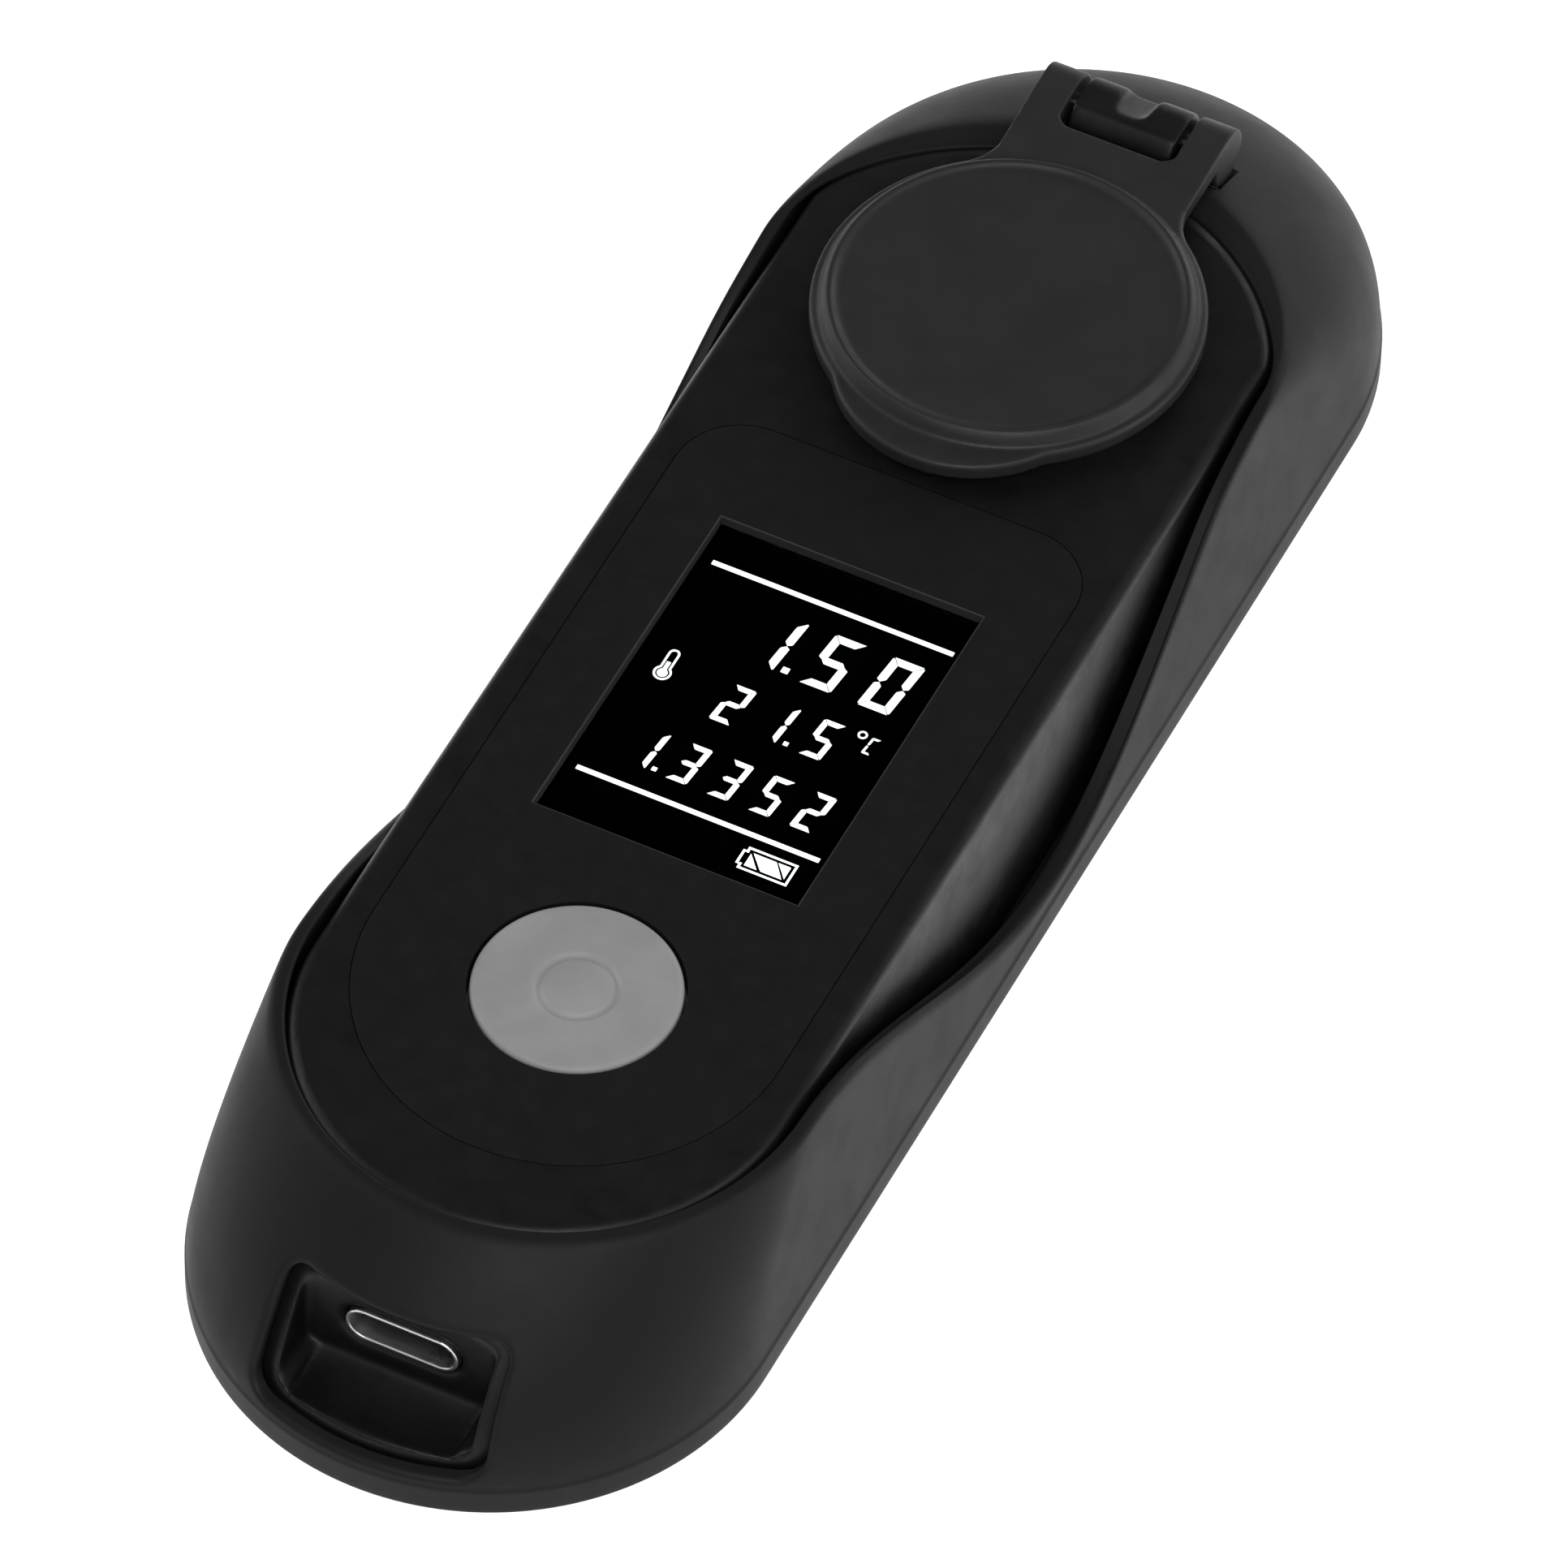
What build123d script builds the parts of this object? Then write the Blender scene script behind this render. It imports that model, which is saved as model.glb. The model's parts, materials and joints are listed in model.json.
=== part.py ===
from build123d import *

import os
from collections import namedtuple
from math import atan2, cos, pi, radians, sin, sqrt

# A pocket digital refractometer in a slip-on rubber boot. All sizes are in millimetres.
# X points to the right, Y towards the lid's hinge and Z up. The origin is under the middle of the
# whole object, on the surface that it stands on.

Outline = namedtuple("Outline", "half_width front rear")

# Body: the plan outline at the top face, how far the foot flares past it, and the heights between
face_z = 17.3
body_top = Outline(half_width=18.7, front=-57.8, rear=51.0)
body_flare = Outline(half_width=0.3, front=11.8, rear=18.2)
nose_power = 1.6
tail_power = 2.5
tail_bow = 1.09
shoulder_radius = 9.0
face_edge_radius = 0.9
split_z = 3.0
top_wall = 2.0
side_wall = 1.8
end_wall = 1.4

# Boot: its gaps round the body, its wall and the dip at the grip
boot_floor = 1.4
boot_band = 2.5
boot_gap_top = Outline(half_width=0.6, front=0.25, rear=0.75)
boot_gap_base = Outline(half_width=1.3, front=0.25, rear=0.3)
boot_lip = Outline(half_width=1.1, front=1.1, rear=2.85)
boot_wall = Outline(half_width=1.5, front=1.15, rear=1.5)
boot_lip_round = 0.45
dip_centre = -1.5
dip_half_length = 40.0
dip_depth = 13.4
dip_lead = 0.4

# Housing joint, its gasket and screws
rabbet_height = 1.4
rabbet_wall = 0.9
rabbet_clearance = 0.1
gasket_width = 0.7
gasket_depth = 0.4
screw_radius = 0.9
screw_head_radius = 1.75
screw_head_height = 0.85
screw_length = 8.0
screw_clearance = 0.02
head_clearance = 0.1
screw_hole_spare = 0.3
blind_hole_skin = 0.6
boss_radius = 2.4
screw_spots = ((14.2, -42.0), (14.2, 15.2), (9.5, 57.2))

# Face label
label_half_width = 16.1
label_rear = 17.4
label_corner = 5.3
label_thickness = 0.35
label_clearance = 0.08

# Display
display_y = -6.75
display_width = 21.4
display_length = 30.5
window_lap = 1.1
window_thickness = 0.7
window_clearance = 0.1
viewing_margin = 0.3
glass_ledge = 2.0
glass_thickness = 0.9
glass_gap = 0.05
backlight_thickness = 1.8
frame_wall = 1.3
frame_floor = 0.8
frame_leg_length = 6.0
flex_width = 14.0
flex_thickness = 0.15
flex_reach = 0.9
flex_socket_height = 1.2
flex_socket_depth = 3.0
flex_socket_end = 1.0
flex_room = 0.3

# Button and its switch
button_y = -35.8
button_radius = 7.65
button_clearance = 0.22
button_rise = 0.15
button_flange = 1.5
button_flange_thickness = 0.9
button_stem_radius = 2.0
button_skirt_depth = 1.2
button_dome_radius = 2.3
button_dome_rise = 0.3
button_groove_width = 0.5
button_groove_depth = 0.15
button_edge_round = 0.3
button_travel = 0.5
switch_side = 6.0
switch_height = 4.4
plunger_radius = 1.7
plunger_rise = 1.5
plunger_depth = 1.2
plunger_clearance = 0.05
plunger_bottom_gap = 0.2

# Charging socket and the pocket that it sits in
pocket_back = 6.5
pocket_wall = 1.6
pocket_half_width = 7.6
pocket_floor = 4.2
pocket_roof = 13.2
pocket_corner = 1.0
scoop_radius = 6.0
scoop_depth = 0.7
usb_z = 7.85
usb_width = 8.94
usb_height = 3.16
usb_skin = 0.3
usb_length = 7.35
usb_clearance = 0.15
usb_chamfer = 0.4
tongue_width = 6.69
tongue_thickness = 0.7
tongue_length = 4.45
tongue_base = 1.6
boot_window_top = 12.2
boot_window_floor = 3.4
boot_window_half_top = 8.7
boot_window_half_floor = 9.1
boot_window_corner = 1.6

# Main board and what stands on it
board_thickness = 1.2
board_half_width = 14.6
board_rear_gap = 1.2
board_front_gap = 0.2
board_boss_clearance = 0.3
board_post_radius = 2.0
board_screw_radius = 0.7
board_screw_head = 1.3
board_screw_head_height = 0.6
board_screw_length = 4.0
board_screw_spots = ((11.6, -52.0), (12.0, -28.6), (2.4, 14.4))
pad_thickness = 0.3
battery_width = 23.0
battery_length = 29.0
battery_thickness = 4.4
battery_y = -5.2
battery_edge = 1.2
lead_radius = 0.45
lead_spots = (6.6, 8.4)
lead_z = 1.4
plug_size = (5.4, 4.0, 2.8)
plug_gap = 2.6
chip_sizes = ((6.0, 6.0, 0.9), (4.0, 4.0, 0.8), (3.0, 2.4, 0.9), (3.0, 5.0, 1.1))
chip_spots = ((-7.4, -46.0), (7.4, -45.4), (8.2, -52.5), (-8.6, -34.0))

# Sample well
well_y = 34.3
well_flange_radius = 13.3
well_flange_height = 1.0
well_mouth_radius = 10.7
well_wall = 0.8
well_floor_radius = 6.8
well_depth = 4.4
well_floor_thickness = 0.9
well_rim_round = 0.35
well_hole_clearance = 0.15
well_seal_inner = 12.15
well_seal_width = 0.75
well_seal_depth = 0.6
clamp_ring_width = 2.0
clamp_ring_height = 1.6
clamp_notch = (1.6, 2.4, 1.6)

# Prism and the optics under the well
prism_half_length = 4.4
prism_half_foot = 2.0
prism_half_width = 2.9
prism_height = 5.3
prism_clearance = 0.1
prism_seal_thickness = 0.4
prism_seal_width = 1.4
block_half_width = 9.0
block_half_length = 15.5
block_foot = 5.0
light_bore_z = 10.1
lamp_radius = 1.5
lamp_length = 4.2
lamp_clearance = 0.08
light_board_size = (9.0, 1.0, 5.0)
lens_radius = 2.5
lens_thickness = 1.6
lens_bulge = 0.5
lens_setback = 5.2
lens_clearance = 0.05
sensor_size = (12.4, 1.4, 3.0)
sensor_clearance = 0.1
sensor_board_size = (15.0, 1.0, 7.0)
sensor_board_drop = 0.6
probe_radius = 0.75
probe_length = 3.4
probe_x = 5.6
probe_clearance = 0.1
probe_hole_spare = 0.4
probe_tip_round = 0.6
ribbon_width = 4.0
ribbon_thickness = 0.2
ribbon_x = -10.0
ribbon_lift = 0.2
ribbon_joint = 2.0
ribbon_socket_size = (2.6, 2.0, 4.4)
block_screw_radius = 0.8
block_screw_head = 1.5
block_screw_head_height = 0.8
block_screw_length = 5.0
block_screw_spot = (7.0, 12.5)
block_screw_seat = 7.6

# Lid
lid_plate_thickness = 1.35
lid_lift = 0.15
lid_radius = 14.65
lid_disc_z = 20.6
lid_crest_z = 20.95
lid_crest_radius = 13.1
lid_crest_width = 0.75
lid_crest_lean = 0.3
lid_shoulder_radius = 14.0
lid_tab_radius = 10.3
lid_tab_y = 28.1
lid_tab_fillet = 2.4
arm_half_width = 7.6
arm_fillet = 4.4
arm_rise_start = 48.6
slot_clearance = 0.47
slot_front = 52.05
slot_corner = 1.0
lid_edge_round = 0.35
seal_inner = 11.2
seal_width = 1.4
seal_depth = 0.7
seal_proud = 0.1

# Hinge
hinge_y = 56.1
hinge_z = 18.0
barrel_radius = 2.3
hinge_gap = 0.35
pin_radius = 0.7
pin_half_length = 6.7
pin_clearance = 0.05
pin_end_clearance = 0.1
knuckle_half_width = 4.25
neck_half_width = 1.3
neck_corner = 0.6
neck_lead = 1.5
neck_tilt = 26.0
neck_height = 3.0
knuckle_reach = 3.55
knuckle_round = 0.5
knuckle_foot = 1.6

# How far the cutting shapes run past what they cut
over = 1.0
wide = 40.0
long = 90.0
tall = 30.0


def grown(outline, margin):
    """An outline with its margin added on each side."""
    return Outline(
        outline.half_width + margin.half_width,
        outline.front - margin.front,
        outline.rear + margin.rear,
    )


def shrunk(outline, side, end):
    """An outline moved inwards, by one distance at the sides and another at the ends."""
    return Outline(outline.half_width - side, outline.front + end, outline.rear - end)


# Heights and places that follow from the sizes above
body_base = grown(body_top, body_flare)
wall_z = face_z - top_wall
board_top = usb_z - usb_height / 2
board_z = board_top - board_thickness
pocket_y = body_base.front + pocket_back
board_front = pocket_y + pocket_wall + board_front_gap
block_front = well_y - block_half_length
block_rear = well_y + block_half_length
board_rear = block_front - light_board_size[1] - board_rear_gap
window_top = face_z - label_thickness
window_z = window_top - window_thickness
glass_top = window_z - glass_gap
switch_top = board_top + switch_height
plunger_top = switch_top + plunger_rise
flange_z = wall_z - button_flange_thickness
well_top = face_z + well_flange_height
well_floor_z = well_top - well_depth
well_under = well_floor_z - well_floor_thickness
well_neck_radius = well_mouth_radius + well_wall
block_top = well_under - prism_seal_thickness
lid_under = well_top + lid_lift
lid_plate_top = lid_under + lid_plate_thickness
slot_half_width = knuckle_half_width + slot_clearance
battery_z = board_top + pad_thickness
battery_rear = battery_y + battery_length / 2


hollow_top = shrunk(body_top, side_wall, end_wall)
hollow_base = shrunk(body_base, side_wall, end_wall)
boot_hollow_top = grown(body_top, boot_gap_top)
boot_hollow_base = grown(body_base, boot_gap_base)
boot_top = grown(boot_hollow_top, boot_lip)
boot_base = grown(boot_hollow_base, boot_wall)


def between(top, base, share):
    """The outline part of the way down from the top to the base of the flare."""
    nose = 1 - (1 - share) ** nose_power
    tail = 1 - (1 - share) ** tail_power
    return Outline(
        top.half_width + (base.half_width - top.half_width) * share,
        top.front + (base.front - top.front) * nose,
        top.rear + (base.rear - top.rear) * tail,
    )


def round_ended(outline, z):
    """A stadium: straight sides and a half circle at each end."""
    w, front, rear = outline
    side = Edge.make_line((w, front + w, z), (w, rear - w, z))
    tail = Edge.make_three_point_arc((w, rear - w, z), (0, rear, z), (-w, rear - w, z))
    other = Edge.make_line((-w, rear - w, z), (-w, front + w, z))
    nose = Edge.make_three_point_arc((-w, front + w, z), (0, front, z), (w, front + w, z))
    return Face(Wire([side, tail, other, nose]))


def shouldered(outline, z):
    """The body's plan: a half circle in front, and a flatter arc with two shoulders behind."""
    w, front, rear = outline
    bow = w * tail_bow
    bow_y = rear - bow
    corner_x = w - shoulder_radius
    corner_y = bow_y + sqrt((bow - shoulder_radius) ** 2 - corner_x**2)
    turn = atan2(corner_y - bow_y, corner_x)
    end_x = bow * cos(turn)
    end_y = bow_y + bow * sin(turn)
    mid_x = corner_x + shoulder_radius * cos(turn / 2)
    mid_y = corner_y + shoulder_radius * sin(turn / 2)
    edges = [
        Edge.make_line((w, front + w, z), (w, corner_y, z)),
        Edge.make_three_point_arc((w, corner_y, z), (mid_x, mid_y, z), (end_x, end_y, z)),
        Edge.make_three_point_arc((end_x, end_y, z), (0, rear, z), (-end_x, end_y, z)),
        Edge.make_three_point_arc((-end_x, end_y, z), (-mid_x, mid_y, z), (-w, corner_y, z)),
        Edge.make_line((-w, corner_y, z), (-w, front + w, z)),
        Edge.make_three_point_arc((-w, front + w, z), (0, front, z), (w, front + w, z)),
    ]
    return Face(Wire(edges))


def flare(plan, top, base, top_z, base_z, foot_z, levels=6):
    """A solid that widens from its top outline to its base, and then goes straight down."""
    sections = []
    for step in range(levels):
        share = step / (levels - 1)
        sections.append(plan(between(top, base, share), top_z + (base_z - top_z) * share))
    foot = extrude(plan(base, base_z), base_z - foot_z, dir=(0, 0, -1))
    return loft(sections) + foot


def block(x0, x1, y0, y1, z0, z1):
    """A box between two corners."""
    middle = Pos((x0 + x1) / 2, (y0 + y1) / 2, (z0 + z1) / 2)
    return middle * Box(x1 - x0, y1 - y0, z1 - z0)


def slab(z0, z1):
    """All that lies between two heights."""
    return block(-wide, wide, -long, long, z0, z1)


def post(radius, z0, z1, x=0.0, y=0.0):
    """An upright cylinder from z0 to z1."""
    return Pos(x, y, (z0 + z1) / 2) * Cylinder(radius, z1 - z0)


def tube(outer, inner, z0, z1, x=0.0, y=0.0):
    """An upright ring from z0 to z1."""
    return post(outer, z0, z1, x, y) - post(inner, z0, z1, x, y)


def rod(radius, x0, x1, y, z):
    """A cylinder along X."""
    return Pos((x0 + x1) / 2, y, z) * Rot(0, 90, 0) * Cylinder(radius, x1 - x0)


def bore(radius, y0, y1, x, z):
    """A cylinder along Y."""
    return Pos(x, (y0 + y1) / 2, z) * Rot(90, 0, 0) * Cylinder(radius, y1 - y0)


def capsule(width, height, y0, y1, z):
    """A round-sided slot shape along Y, centred on x = 0."""
    plane = Plane(origin=(0, y0, z), x_dir=(1, 0, 0), z_dir=(0, 1, 0))
    return extrude(plane * SlotOverall(width, height), y1 - y0)


def mirrored(spots):
    """Each spot and its mirror image across the middle plane."""
    return [(side * x, y) for x, y in spots for side in (1, -1)]


body_solid = flare(shouldered, body_top, body_base, face_z, boot_band, boot_floor)
body_solid = fillet(body_solid.edges().group_by(Axis.Z)[-1], face_edge_radius)
hollow_solid = flare(shouldered, hollow_top, hollow_base, wall_z, boot_band, split_z - over)


def label_outline(margin=0.0):
    """The face label's plan: a half circle round the button, and two rounded corners behind."""
    w = label_half_width + margin
    rear = label_rear + margin
    panel = Pos(0, (button_y + rear) / 2) * Rectangle(2 * w, rear - button_y)
    corners = panel.vertices().group_by(Axis.Y)[-1]
    panel = fillet(corners, label_corner + margin)
    return panel + Pos(0, button_y) * Circle(w)


def display_box(margin, z0, z1):
    """A box in line with the display opening, larger by a margin on each side."""
    w = display_width / 2 + margin
    length = display_length / 2 + margin
    return block(-w, w, display_y - length, display_y + length, z0, z1)


def hinge_relief():
    """Room round the lid's barrels, between them and what lies below."""
    reach = arm_half_width + hinge_gap
    return rod(barrel_radius + hinge_gap, -reach, reach, hinge_y, hinge_z)


def usb_pocket():
    """The pocket in the front of the body, with its scooped floor."""
    front = body_base.front - over
    roof = Plane(origin=(0, front, (pocket_floor + pocket_roof) / 2), x_dir=(1, 0, 0), z_dir=(0, 1, 0))
    mouth = RectangleRounded(2 * pocket_half_width, pocket_roof - pocket_floor, pocket_corner)
    hole = extrude(roof * mouth, pocket_y - front)
    scoop_z = pocket_floor - scoop_depth + scoop_radius
    half_chord = sqrt(scoop_radius**2 - (scoop_radius - scoop_depth) ** 2)
    scoop = rod(
        scoop_radius,
        pocket_corner - pocket_half_width,
        pocket_half_width - pocket_corner,
        pocket_y - half_chord,
        scoop_z,
    )
    floor = scoop & block(-wide, wide, front, pocket_y, 0, pocket_floor + over)
    return hole + floor


def usb_cutout():
    """The hole for the charging socket in the back wall of the pocket, with its chamfered edge."""
    width = usb_width + 2 * usb_clearance
    height = usb_height + 2 * usb_clearance
    hole = capsule(width, height, pocket_y - over, pocket_y + pocket_wall + over, usb_z)
    mouth = Plane(origin=(0, pocket_y, usb_z), x_dir=(1, 0, 0), z_dir=(0, 1, 0))
    wide = mouth * SlotOverall(width + 2 * usb_chamfer, height + 2 * usb_chamfer)
    narrow = mouth.offset(usb_chamfer) * SlotOverall(width, height)
    return hole + loft([wide.face(), narrow.face()])


def knuckle():
    """The hinge's fixed block: two lobes and a scooped neck, on a foot in the body's tail."""
    lobe = rod(barrel_radius, -knuckle_half_width, knuckle_half_width, hinge_y, hinge_z)
    foot_z = hinge_z - barrel_radius - knuckle_foot
    front = hinge_y - knuckle_reach
    foot = block(
        -knuckle_half_width, knuckle_half_width, front, hinge_y, foot_z, hinge_z - knuckle_round
    )
    sweep = rod(
        knuckle_reach, -knuckle_half_width, knuckle_half_width, hinge_y, hinge_z - knuckle_round
    )
    top = sweep & block(-wide, wide, front, hinge_y, hinge_z - knuckle_round, hinge_z + barrel_radius)
    rear = block(
        -knuckle_half_width, knuckle_half_width, hinge_y, hinge_y + barrel_radius, foot_z, hinge_z
    )
    solid = lobe + foot + top + rear
    tilt = radians(neck_tilt)
    neck = Plane(
        origin=(0, hinge_y - neck_lead, hinge_z + barrel_radius),
        x_dir=(1, 0, 0),
        z_dir=(0, cos(tilt), -sin(tilt)),
    )
    groove = Pos(0, -neck_height / 2) * RectangleRounded(2 * neck_half_width, neck_height, neck_corner)
    return solid - extrude(neck * groove, 2 * knuckle_reach)


def upper_housing():
    shell = body_solid - hollow_solid
    shell -= slab(0, split_z)
    backing = block(
        -pocket_half_width - pocket_wall,
        pocket_half_width + pocket_wall,
        body_base.front,
        pocket_y + pocket_wall,
        split_z,
        pocket_roof + pocket_wall,
    )
    shell += backing & body_solid
    for x, y in mirrored(screw_spots):
        shell += post(boss_radius, split_z, wall_z + over, x, y) & body_solid
    shell -= hinge_relief()
    shell += knuckle()
    shell -= rod(pin_radius, -knuckle_half_width, knuckle_half_width, hinge_y, hinge_z)
    for x, y in mirrored(screw_spots):
        shell -= post(screw_radius + screw_clearance, 0, boot_floor + screw_length + screw_hole_spare, x, y)
    shell -= extrude(Pos(0, 0, window_top) * label_outline(label_clearance), over)
    shell -= display_box(window_lap + window_clearance, window_z, face_z)
    shell -= display_box(0, wall_z - over, face_z)
    shell -= post(button_radius + button_clearance, wall_z - over, face_z, 0, button_y)
    shell -= post(well_neck_radius + well_hole_clearance, wall_z - over, face_z, 0, well_y)
    seal_outer = well_seal_inner + well_seal_width
    shell -= tube(seal_outer, well_seal_inner, face_z - well_seal_depth, face_z, 0, well_y)
    shell -= usb_pocket()
    shell -= usb_cutout()
    return shell


def lower_housing():
    plate = body_solid & slab(0, split_z)
    share = (wall_z - split_z - rabbet_height) / (wall_z - boot_band)
    inner = shrunk(between(hollow_top, hollow_base, share), rabbet_clearance, rabbet_clearance)
    inner_top = shrunk(inner, rabbet_wall, rabbet_wall)
    lip = extrude(shouldered(inner, split_z), rabbet_height, dir=(0, 0, 1))
    lip -= extrude(shouldered(inner_top, split_z), rabbet_height, dir=(0, 0, 1))
    lip &= block(-wide, wide, pocket_y + pocket_wall + over, long, 0, tall)
    for x, y in mirrored(screw_spots):
        lip -= post(boss_radius + rabbet_clearance, 0, tall, x, y)
    plate += lip
    for x, y in mirrored(board_screw_spots):
        plate += post(board_post_radius, split_z, board_z, x, y)
    spot_x, spot_y = block_screw_spot
    for x, y in mirrored(((spot_x, well_y - spot_y), (spot_x, well_y + spot_y))):
        plate += post(board_post_radius, split_z, block_foot, x, y)
        plate -= post(block_screw_radius + screw_clearance, boot_floor + blind_hole_skin, block_foot, x, y)
    for x, y in mirrored(board_screw_spots):
        plate -= post(board_screw_radius + screw_clearance, boot_floor + blind_hole_skin, board_z, x, y)
    for x, y in mirrored(screw_spots):
        plate -= post(screw_radius + screw_clearance, 0, tall, x, y)
        plate -= post(
            screw_head_radius + head_clearance, 0, boot_floor + screw_head_height, x, y
        )
    plate -= gasket_ring()
    return plate


def gasket_ring():
    """The seal between the two housings, in a groove in the lower one."""
    inset = (side_wall - gasket_width) / 2
    outer = shrunk(body_base, inset, inset)
    inner = shrunk(outer, gasket_width, gasket_width)
    ring = extrude(shouldered(outer, split_z), gasket_depth, dir=(0, 0, -1))
    return ring - extrude(shouldered(inner, split_z), gasket_depth, dir=(0, 0, -1))


def screw(radius, head_radius, head_height, length, x, y, head_z, up=True):
    """A pan-head screw with a cross recess. Its head starts at head_z and its shank points away."""
    turn = 1 if up else -1
    shank = Pos(0, 0, turn * (length + head_height) / 2) * Cylinder(radius, length - head_height)
    head = Pos(0, 0, turn * head_height / 2) * Cylinder(head_radius, head_height)
    recess = Box(head_radius, head_radius / 4, head_height) + Box(head_radius / 4, head_radius, head_height)
    return Pos(x, y, head_z) * (shank + head - recess)


def housing_screws():
    return [
        screw(screw_radius, screw_head_radius, screw_head_height, screw_length, x, y, boot_floor)
        for x, y in mirrored(screw_spots)
    ]


def board_screws():
    top = board_top + board_screw_head_height
    return [
        screw(
            board_screw_radius,
            board_screw_head,
            board_screw_head_height,
            board_screw_length,
            x,
            y,
            top,
            up=False,
        )
        for x, y in mirrored(board_screw_spots)
    ]


def dip_profile():
    """The side view of what is taken off the boot's rim where the fingers grip."""
    points = []
    steps = 16
    for step in range(steps + 1):
        y = dip_centre + dip_half_length * (2 * step / steps - 1)
        drop = (dip_depth + dip_lead) * (1 + cos(pi * (y - dip_centre) / dip_half_length)) / 2
        points.append((0, y, face_z + dip_lead - drop))
    curve = Edge.make_spline(points)
    top = face_z + over
    start = points[0]
    end = points[-1]
    sides = [
        Edge.make_line(end, (0, end[1], top)),
        Edge.make_line((0, end[1], top), (0, start[1], top)),
        Edge.make_line((0, start[1], top), start),
    ]
    return Face(Wire([curve, *sides]))


def boot_window():
    """The opening in the boot round the socket's pocket."""
    points = [
        (-boot_window_half_floor, boot_window_floor),
        (boot_window_half_floor, boot_window_floor),
        (boot_window_half_top, boot_window_top),
        (-boot_window_half_top, boot_window_top),
    ]
    plane = Plane(origin=(0, body_top.front, 0), x_dir=(1, 0, 0), z_dir=(0, -1, 0))
    shape = Polygon(*points, align=None)
    shape = fillet(shape.vertices(), boot_window_corner)
    return extrude(plane * shape, wide)


def rubber_boot():
    skin = flare(round_ended, boot_top, boot_base, face_z, boot_band, 0)
    skin = fillet(skin.edges().group_by(Axis.Z)[-1], boot_lip_round)
    hollow = flare(
        shouldered, boot_hollow_top, boot_hollow_base, face_z, boot_band, boot_floor
    )
    hollow += extrude(shouldered(boot_hollow_top, face_z), over, dir=(0, 0, 1))
    boot = skin - hollow
    dip = extrude(dip_profile(), wide, dir=(1, 0, 0), both=True)
    boot -= dip
    boot -= boot_window()
    boot -= hinge_relief()
    notch = knuckle_half_width + hinge_gap
    boot -= block(
        -notch,
        notch,
        body_top.rear,
        hinge_y + barrel_radius + hinge_gap,
        hinge_z - barrel_radius - knuckle_foot - hinge_gap,
        hinge_z,
    )
    return boot


def face_label():
    label = extrude(Pos(0, 0, window_top) * label_outline(), label_thickness)
    label -= display_box(0, 0, tall)
    return label - post(button_radius + button_clearance, 0, tall, 0, button_y)


def display_window():
    return display_box(window_lap, window_z, window_top)


def display_glass():
    ledge = display_box(glass_ledge, wall_z - glass_thickness, wall_z)
    return ledge + display_box(-viewing_margin, wall_z, glass_top)


def display_backlight():
    top = wall_z - glass_thickness
    return display_box(glass_ledge, top - backlight_thickness, top)


def display_frame():
    floor_top = wall_z - glass_thickness - backlight_thickness
    margin = glass_ledge + frame_wall
    frame = display_box(margin, floor_top - frame_floor, wall_z)
    frame -= display_box(glass_ledge, floor_top, wall_z)
    slot_y = display_y - display_length / 2 - glass_ledge
    frame -= block(
        -flex_width / 2 - flex_room, flex_width / 2 + flex_room, -long, slot_y + over, floor_top, wall_z
    )
    x = display_width / 2 + margin - frame_wall
    for side in (1, -1):
        for end in (1, -1):
            y = display_y + end * (display_length / 2 + margin - frame_leg_length / 2)
            leg = Box(frame_wall, frame_leg_length, floor_top - board_top)
            frame += Pos(side * (x + frame_wall / 2), y, (floor_top + board_top) / 2) * leg
    return frame


def strip(points, thickness, width, x):
    """A flat flexible ribbon along a path in the YZ plane, centred on x."""
    path = Polyline(*[(x, y, z) for y, z in points])
    start_dir = Vector(0, points[1][0] - points[0][0], points[1][1] - points[0][1])
    plane = Plane(origin=(x, *points[0]), x_dir=(1, 0, 0), z_dir=start_dir)
    return sweep(plane * Rectangle(width, thickness), path=path, transition=Transition.RIGHT)


def display_flex():
    half = flex_thickness / 2
    start = display_y - display_length / 2 - glass_ledge
    level = wall_z - glass_thickness + half
    out = start - frame_wall - flex_reach
    landing = board_top + flex_socket_height / 2
    points = [(start, level), (out, level), (out, landing), (out + flex_reach, landing)]
    return strip(points, flex_thickness, flex_width, 0)


def display_socket():
    front = display_y - display_length / 2 - glass_ledge - frame_wall
    return block(
        -flex_width / 2 - flex_socket_end,
        flex_width / 2 + flex_socket_end,
        front,
        front + flex_socket_depth,
        board_top,
        board_top + flex_socket_height,
    )


def button_cap():
    r = button_radius
    edge_z = face_z + button_rise
    cap = post(r, flange_z, edge_z, 0, button_y)
    cap = fillet(cap.edges().group_by(Axis.Z)[-1], button_edge_round)
    cap += post(r + button_flange, flange_z, wall_z, 0, button_y)
    cap -= tube(
        r - button_skirt_depth, button_stem_radius, flange_z, flange_z + button_skirt_depth, 0, button_y
    )
    cap += post(button_stem_radius, plunger_top, flange_z + over, 0, button_y)
    groove_outer = button_dome_radius + button_groove_width
    cap -= tube(
        groove_outer, button_dome_radius, edge_z - button_groove_depth, edge_z, 0, button_y
    )
    dome_radius = (button_dome_radius**2 + button_dome_rise**2) / (2 * button_dome_rise)
    dome = Pos(0, button_y, edge_z + button_dome_rise - dome_radius) * Sphere(dome_radius)
    return cap + (dome & post(button_dome_radius, edge_z - button_dome_rise, tall, 0, button_y))


def switch_body():
    half = switch_side / 2
    case = block(-half, half, button_y - half, button_y + half, board_top, switch_top)
    hole_z = switch_top - plunger_depth - button_travel - plunger_bottom_gap
    return case - post(plunger_radius + plunger_clearance, hole_z, switch_top, 0, button_y)


def switch_plunger():
    return post(plunger_radius, switch_top - plunger_depth, plunger_top, 0, button_y)


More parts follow.
